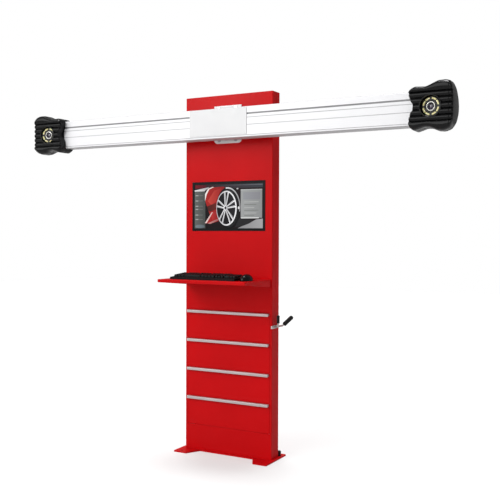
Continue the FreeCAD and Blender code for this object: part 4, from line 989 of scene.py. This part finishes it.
def dress_cad_nodes():
    """Material and small round edges for every CAD node."""
    for name, node in frame["nodes"].items():
        node.data.materials.clear()
        node.data.materials.append(BEAM_PAINT if name == "beam" else MATERIALS[SLOT_OF[name]])
        node.data.polygons.foreach_set("use_smooth", [True] * len(node.data.polygons))
        node.data.set_sharp_from_angle(angle=math.radians(32))
        width = BEVEL_MM.get(name, DRAWER_BEVEL_MM if name.startswith("drawer") else 0.0)
        if width:
            weld = node.modifiers.new("weld", "WELD")
            weld.merge_threshold = WELD
            bevel = node.modifiers.new("bevel", "BEVEL")
            bevel.width = width * MM
            bevel.segments = 2
            bevel.limit_method = "ANGLE"
            bevel.angle_limit = math.radians(40)
            weighted = node.modifiers.new("face normals", "WEIGHTED_NORMAL")
            weighted.weight = 100
            weighted.keep_sharp = True


# -------- stage, lights, camera
def add_light(name, kind):
    data = bpy.data.lights.new(name, kind)
    light = bpy.data.objects.new(name, data)
    SCENE.collection.objects.link(light)
    return data, light


def area_light(name, at, aim, size, power):
    """White rectangular lamp that the camera doesn't see."""
    data, light = add_light(name, "AREA")
    data.shape, data.size, data.size_y = "RECTANGLE", size[0], size[1]
    data.energy = power
    light.location = at
    light.rotation_euler = (Vector(aim) - Vector(at)).to_track_quat("-Z", "Y").to_euler()
    light.visible_camera = False


def sun(name, towards, strength, softness):
    """Broad soft light from the direction towards, softness in degrees."""
    data, light = add_light(name, "SUN")
    data.energy, data.angle = strength, math.radians(softness)
    light.rotation_euler = Vector(towards).to_track_quat("Z", "Y").to_euler()


def floor():
    """Flat grid round the origin."""
    step = 2 * FLOOR_HALF / FLOOR_CELLS
    n = FLOOR_CELLS + 1
    verts = [(-FLOOR_HALF + step * i, -FLOOR_HALF + step * j, 0.0) for j in range(n) for i in range(n)]
    faces = [(j * n + i, j * n + i + 1, (j + 1) * n + i + 1, (j + 1) * n + i)
             for j in range(FLOOR_CELLS) for i in range(FLOOR_CELLS)]
    ground = new_object("floor", verts, faces)
    ground.data.materials.append(floor_material())


def room():
    """White for the camera, dimmer as a light, and dimmer still in reflections."""
    world = bpy.data.worlds.new("studio")
    SCENE.world = world
    world.use_nodes = True
    tree = world.node_tree
    plain = tree.nodes["Background"]
    plain.inputs["Color"].default_value = WHITE
    seen = tree.nodes.new("ShaderNodeBackground")
    seen.inputs["Strength"].default_value = 1.0
    seen.inputs["Color"].default_value = WHITE
    choose = tree.nodes.new("ShaderNodeMixShader")
    path = tree.nodes.new("ShaderNodeLightPath")
    dim = tree.nodes.new("ShaderNodeMath")
    dim.operation = "MULTIPLY_ADD"
    dim.inputs[1].default_value, dim.inputs[2].default_value = -WORLD_GLOSS_CUT, WORLD_LIGHT
    tree.links.new(path.outputs["Is Glossy Ray"], dim.inputs[0])
    tree.links.new(dim.outputs["Value"], plain.inputs["Strength"])
    tree.links.new(path.outputs["Is Camera Ray"], choose.inputs["Fac"])
    tree.links.new(plain.outputs["Background"], choose.inputs[1])
    tree.links.new(seen.outputs["Background"], choose.inputs[2])
    tree.links.new(choose.outputs["Shader"], tree.nodes["World Output"].inputs["Surface"])


def lights():
    sun("front", (-0.42, -0.85, 0.50), 1.45, 55.0)
    sun("top", (-0.07, 0.11, 1.0), 2.3, 24.0)
    area_light("key", (-2.2, -3.7, 3.2), (0.0, 0.0, 1.9), (0.8, 1.4), 34.0)


def camera():
    """Stands to the right of the machine, at chest height, and looks at it nearly level."""
    data = bpy.data.cameras.new("camera")
    data.lens, data.sensor_width = FOCAL_MM, SENSOR_MM
    data.clip_end = 60.0
    made = bpy.data.objects.new("camera", data)
    SCENE.collection.objects.link(made)
    made.matrix_world = (Matrix.Translation(CAMERA_AT) @ Matrix.Rotation(CAMERA_YAW, 4, "Z")
                         @ Matrix.Rotation(math.pi / 2 - CAMERA_PITCH, 4, "X")
                         @ Matrix.Rotation(CAMERA_ROLL, 4, "Z"))
    SCENE.camera = made


# -------- build
dress_cad_nodes()
camera_pods()
for side, word in ((1, "right"), (-1, "left")):
    camera_head(side, word)
screen_picture()
keyboard()
grips()
floor()
room()
lights()
camera()
SCENE.view_settings.view_transform = "Standard"
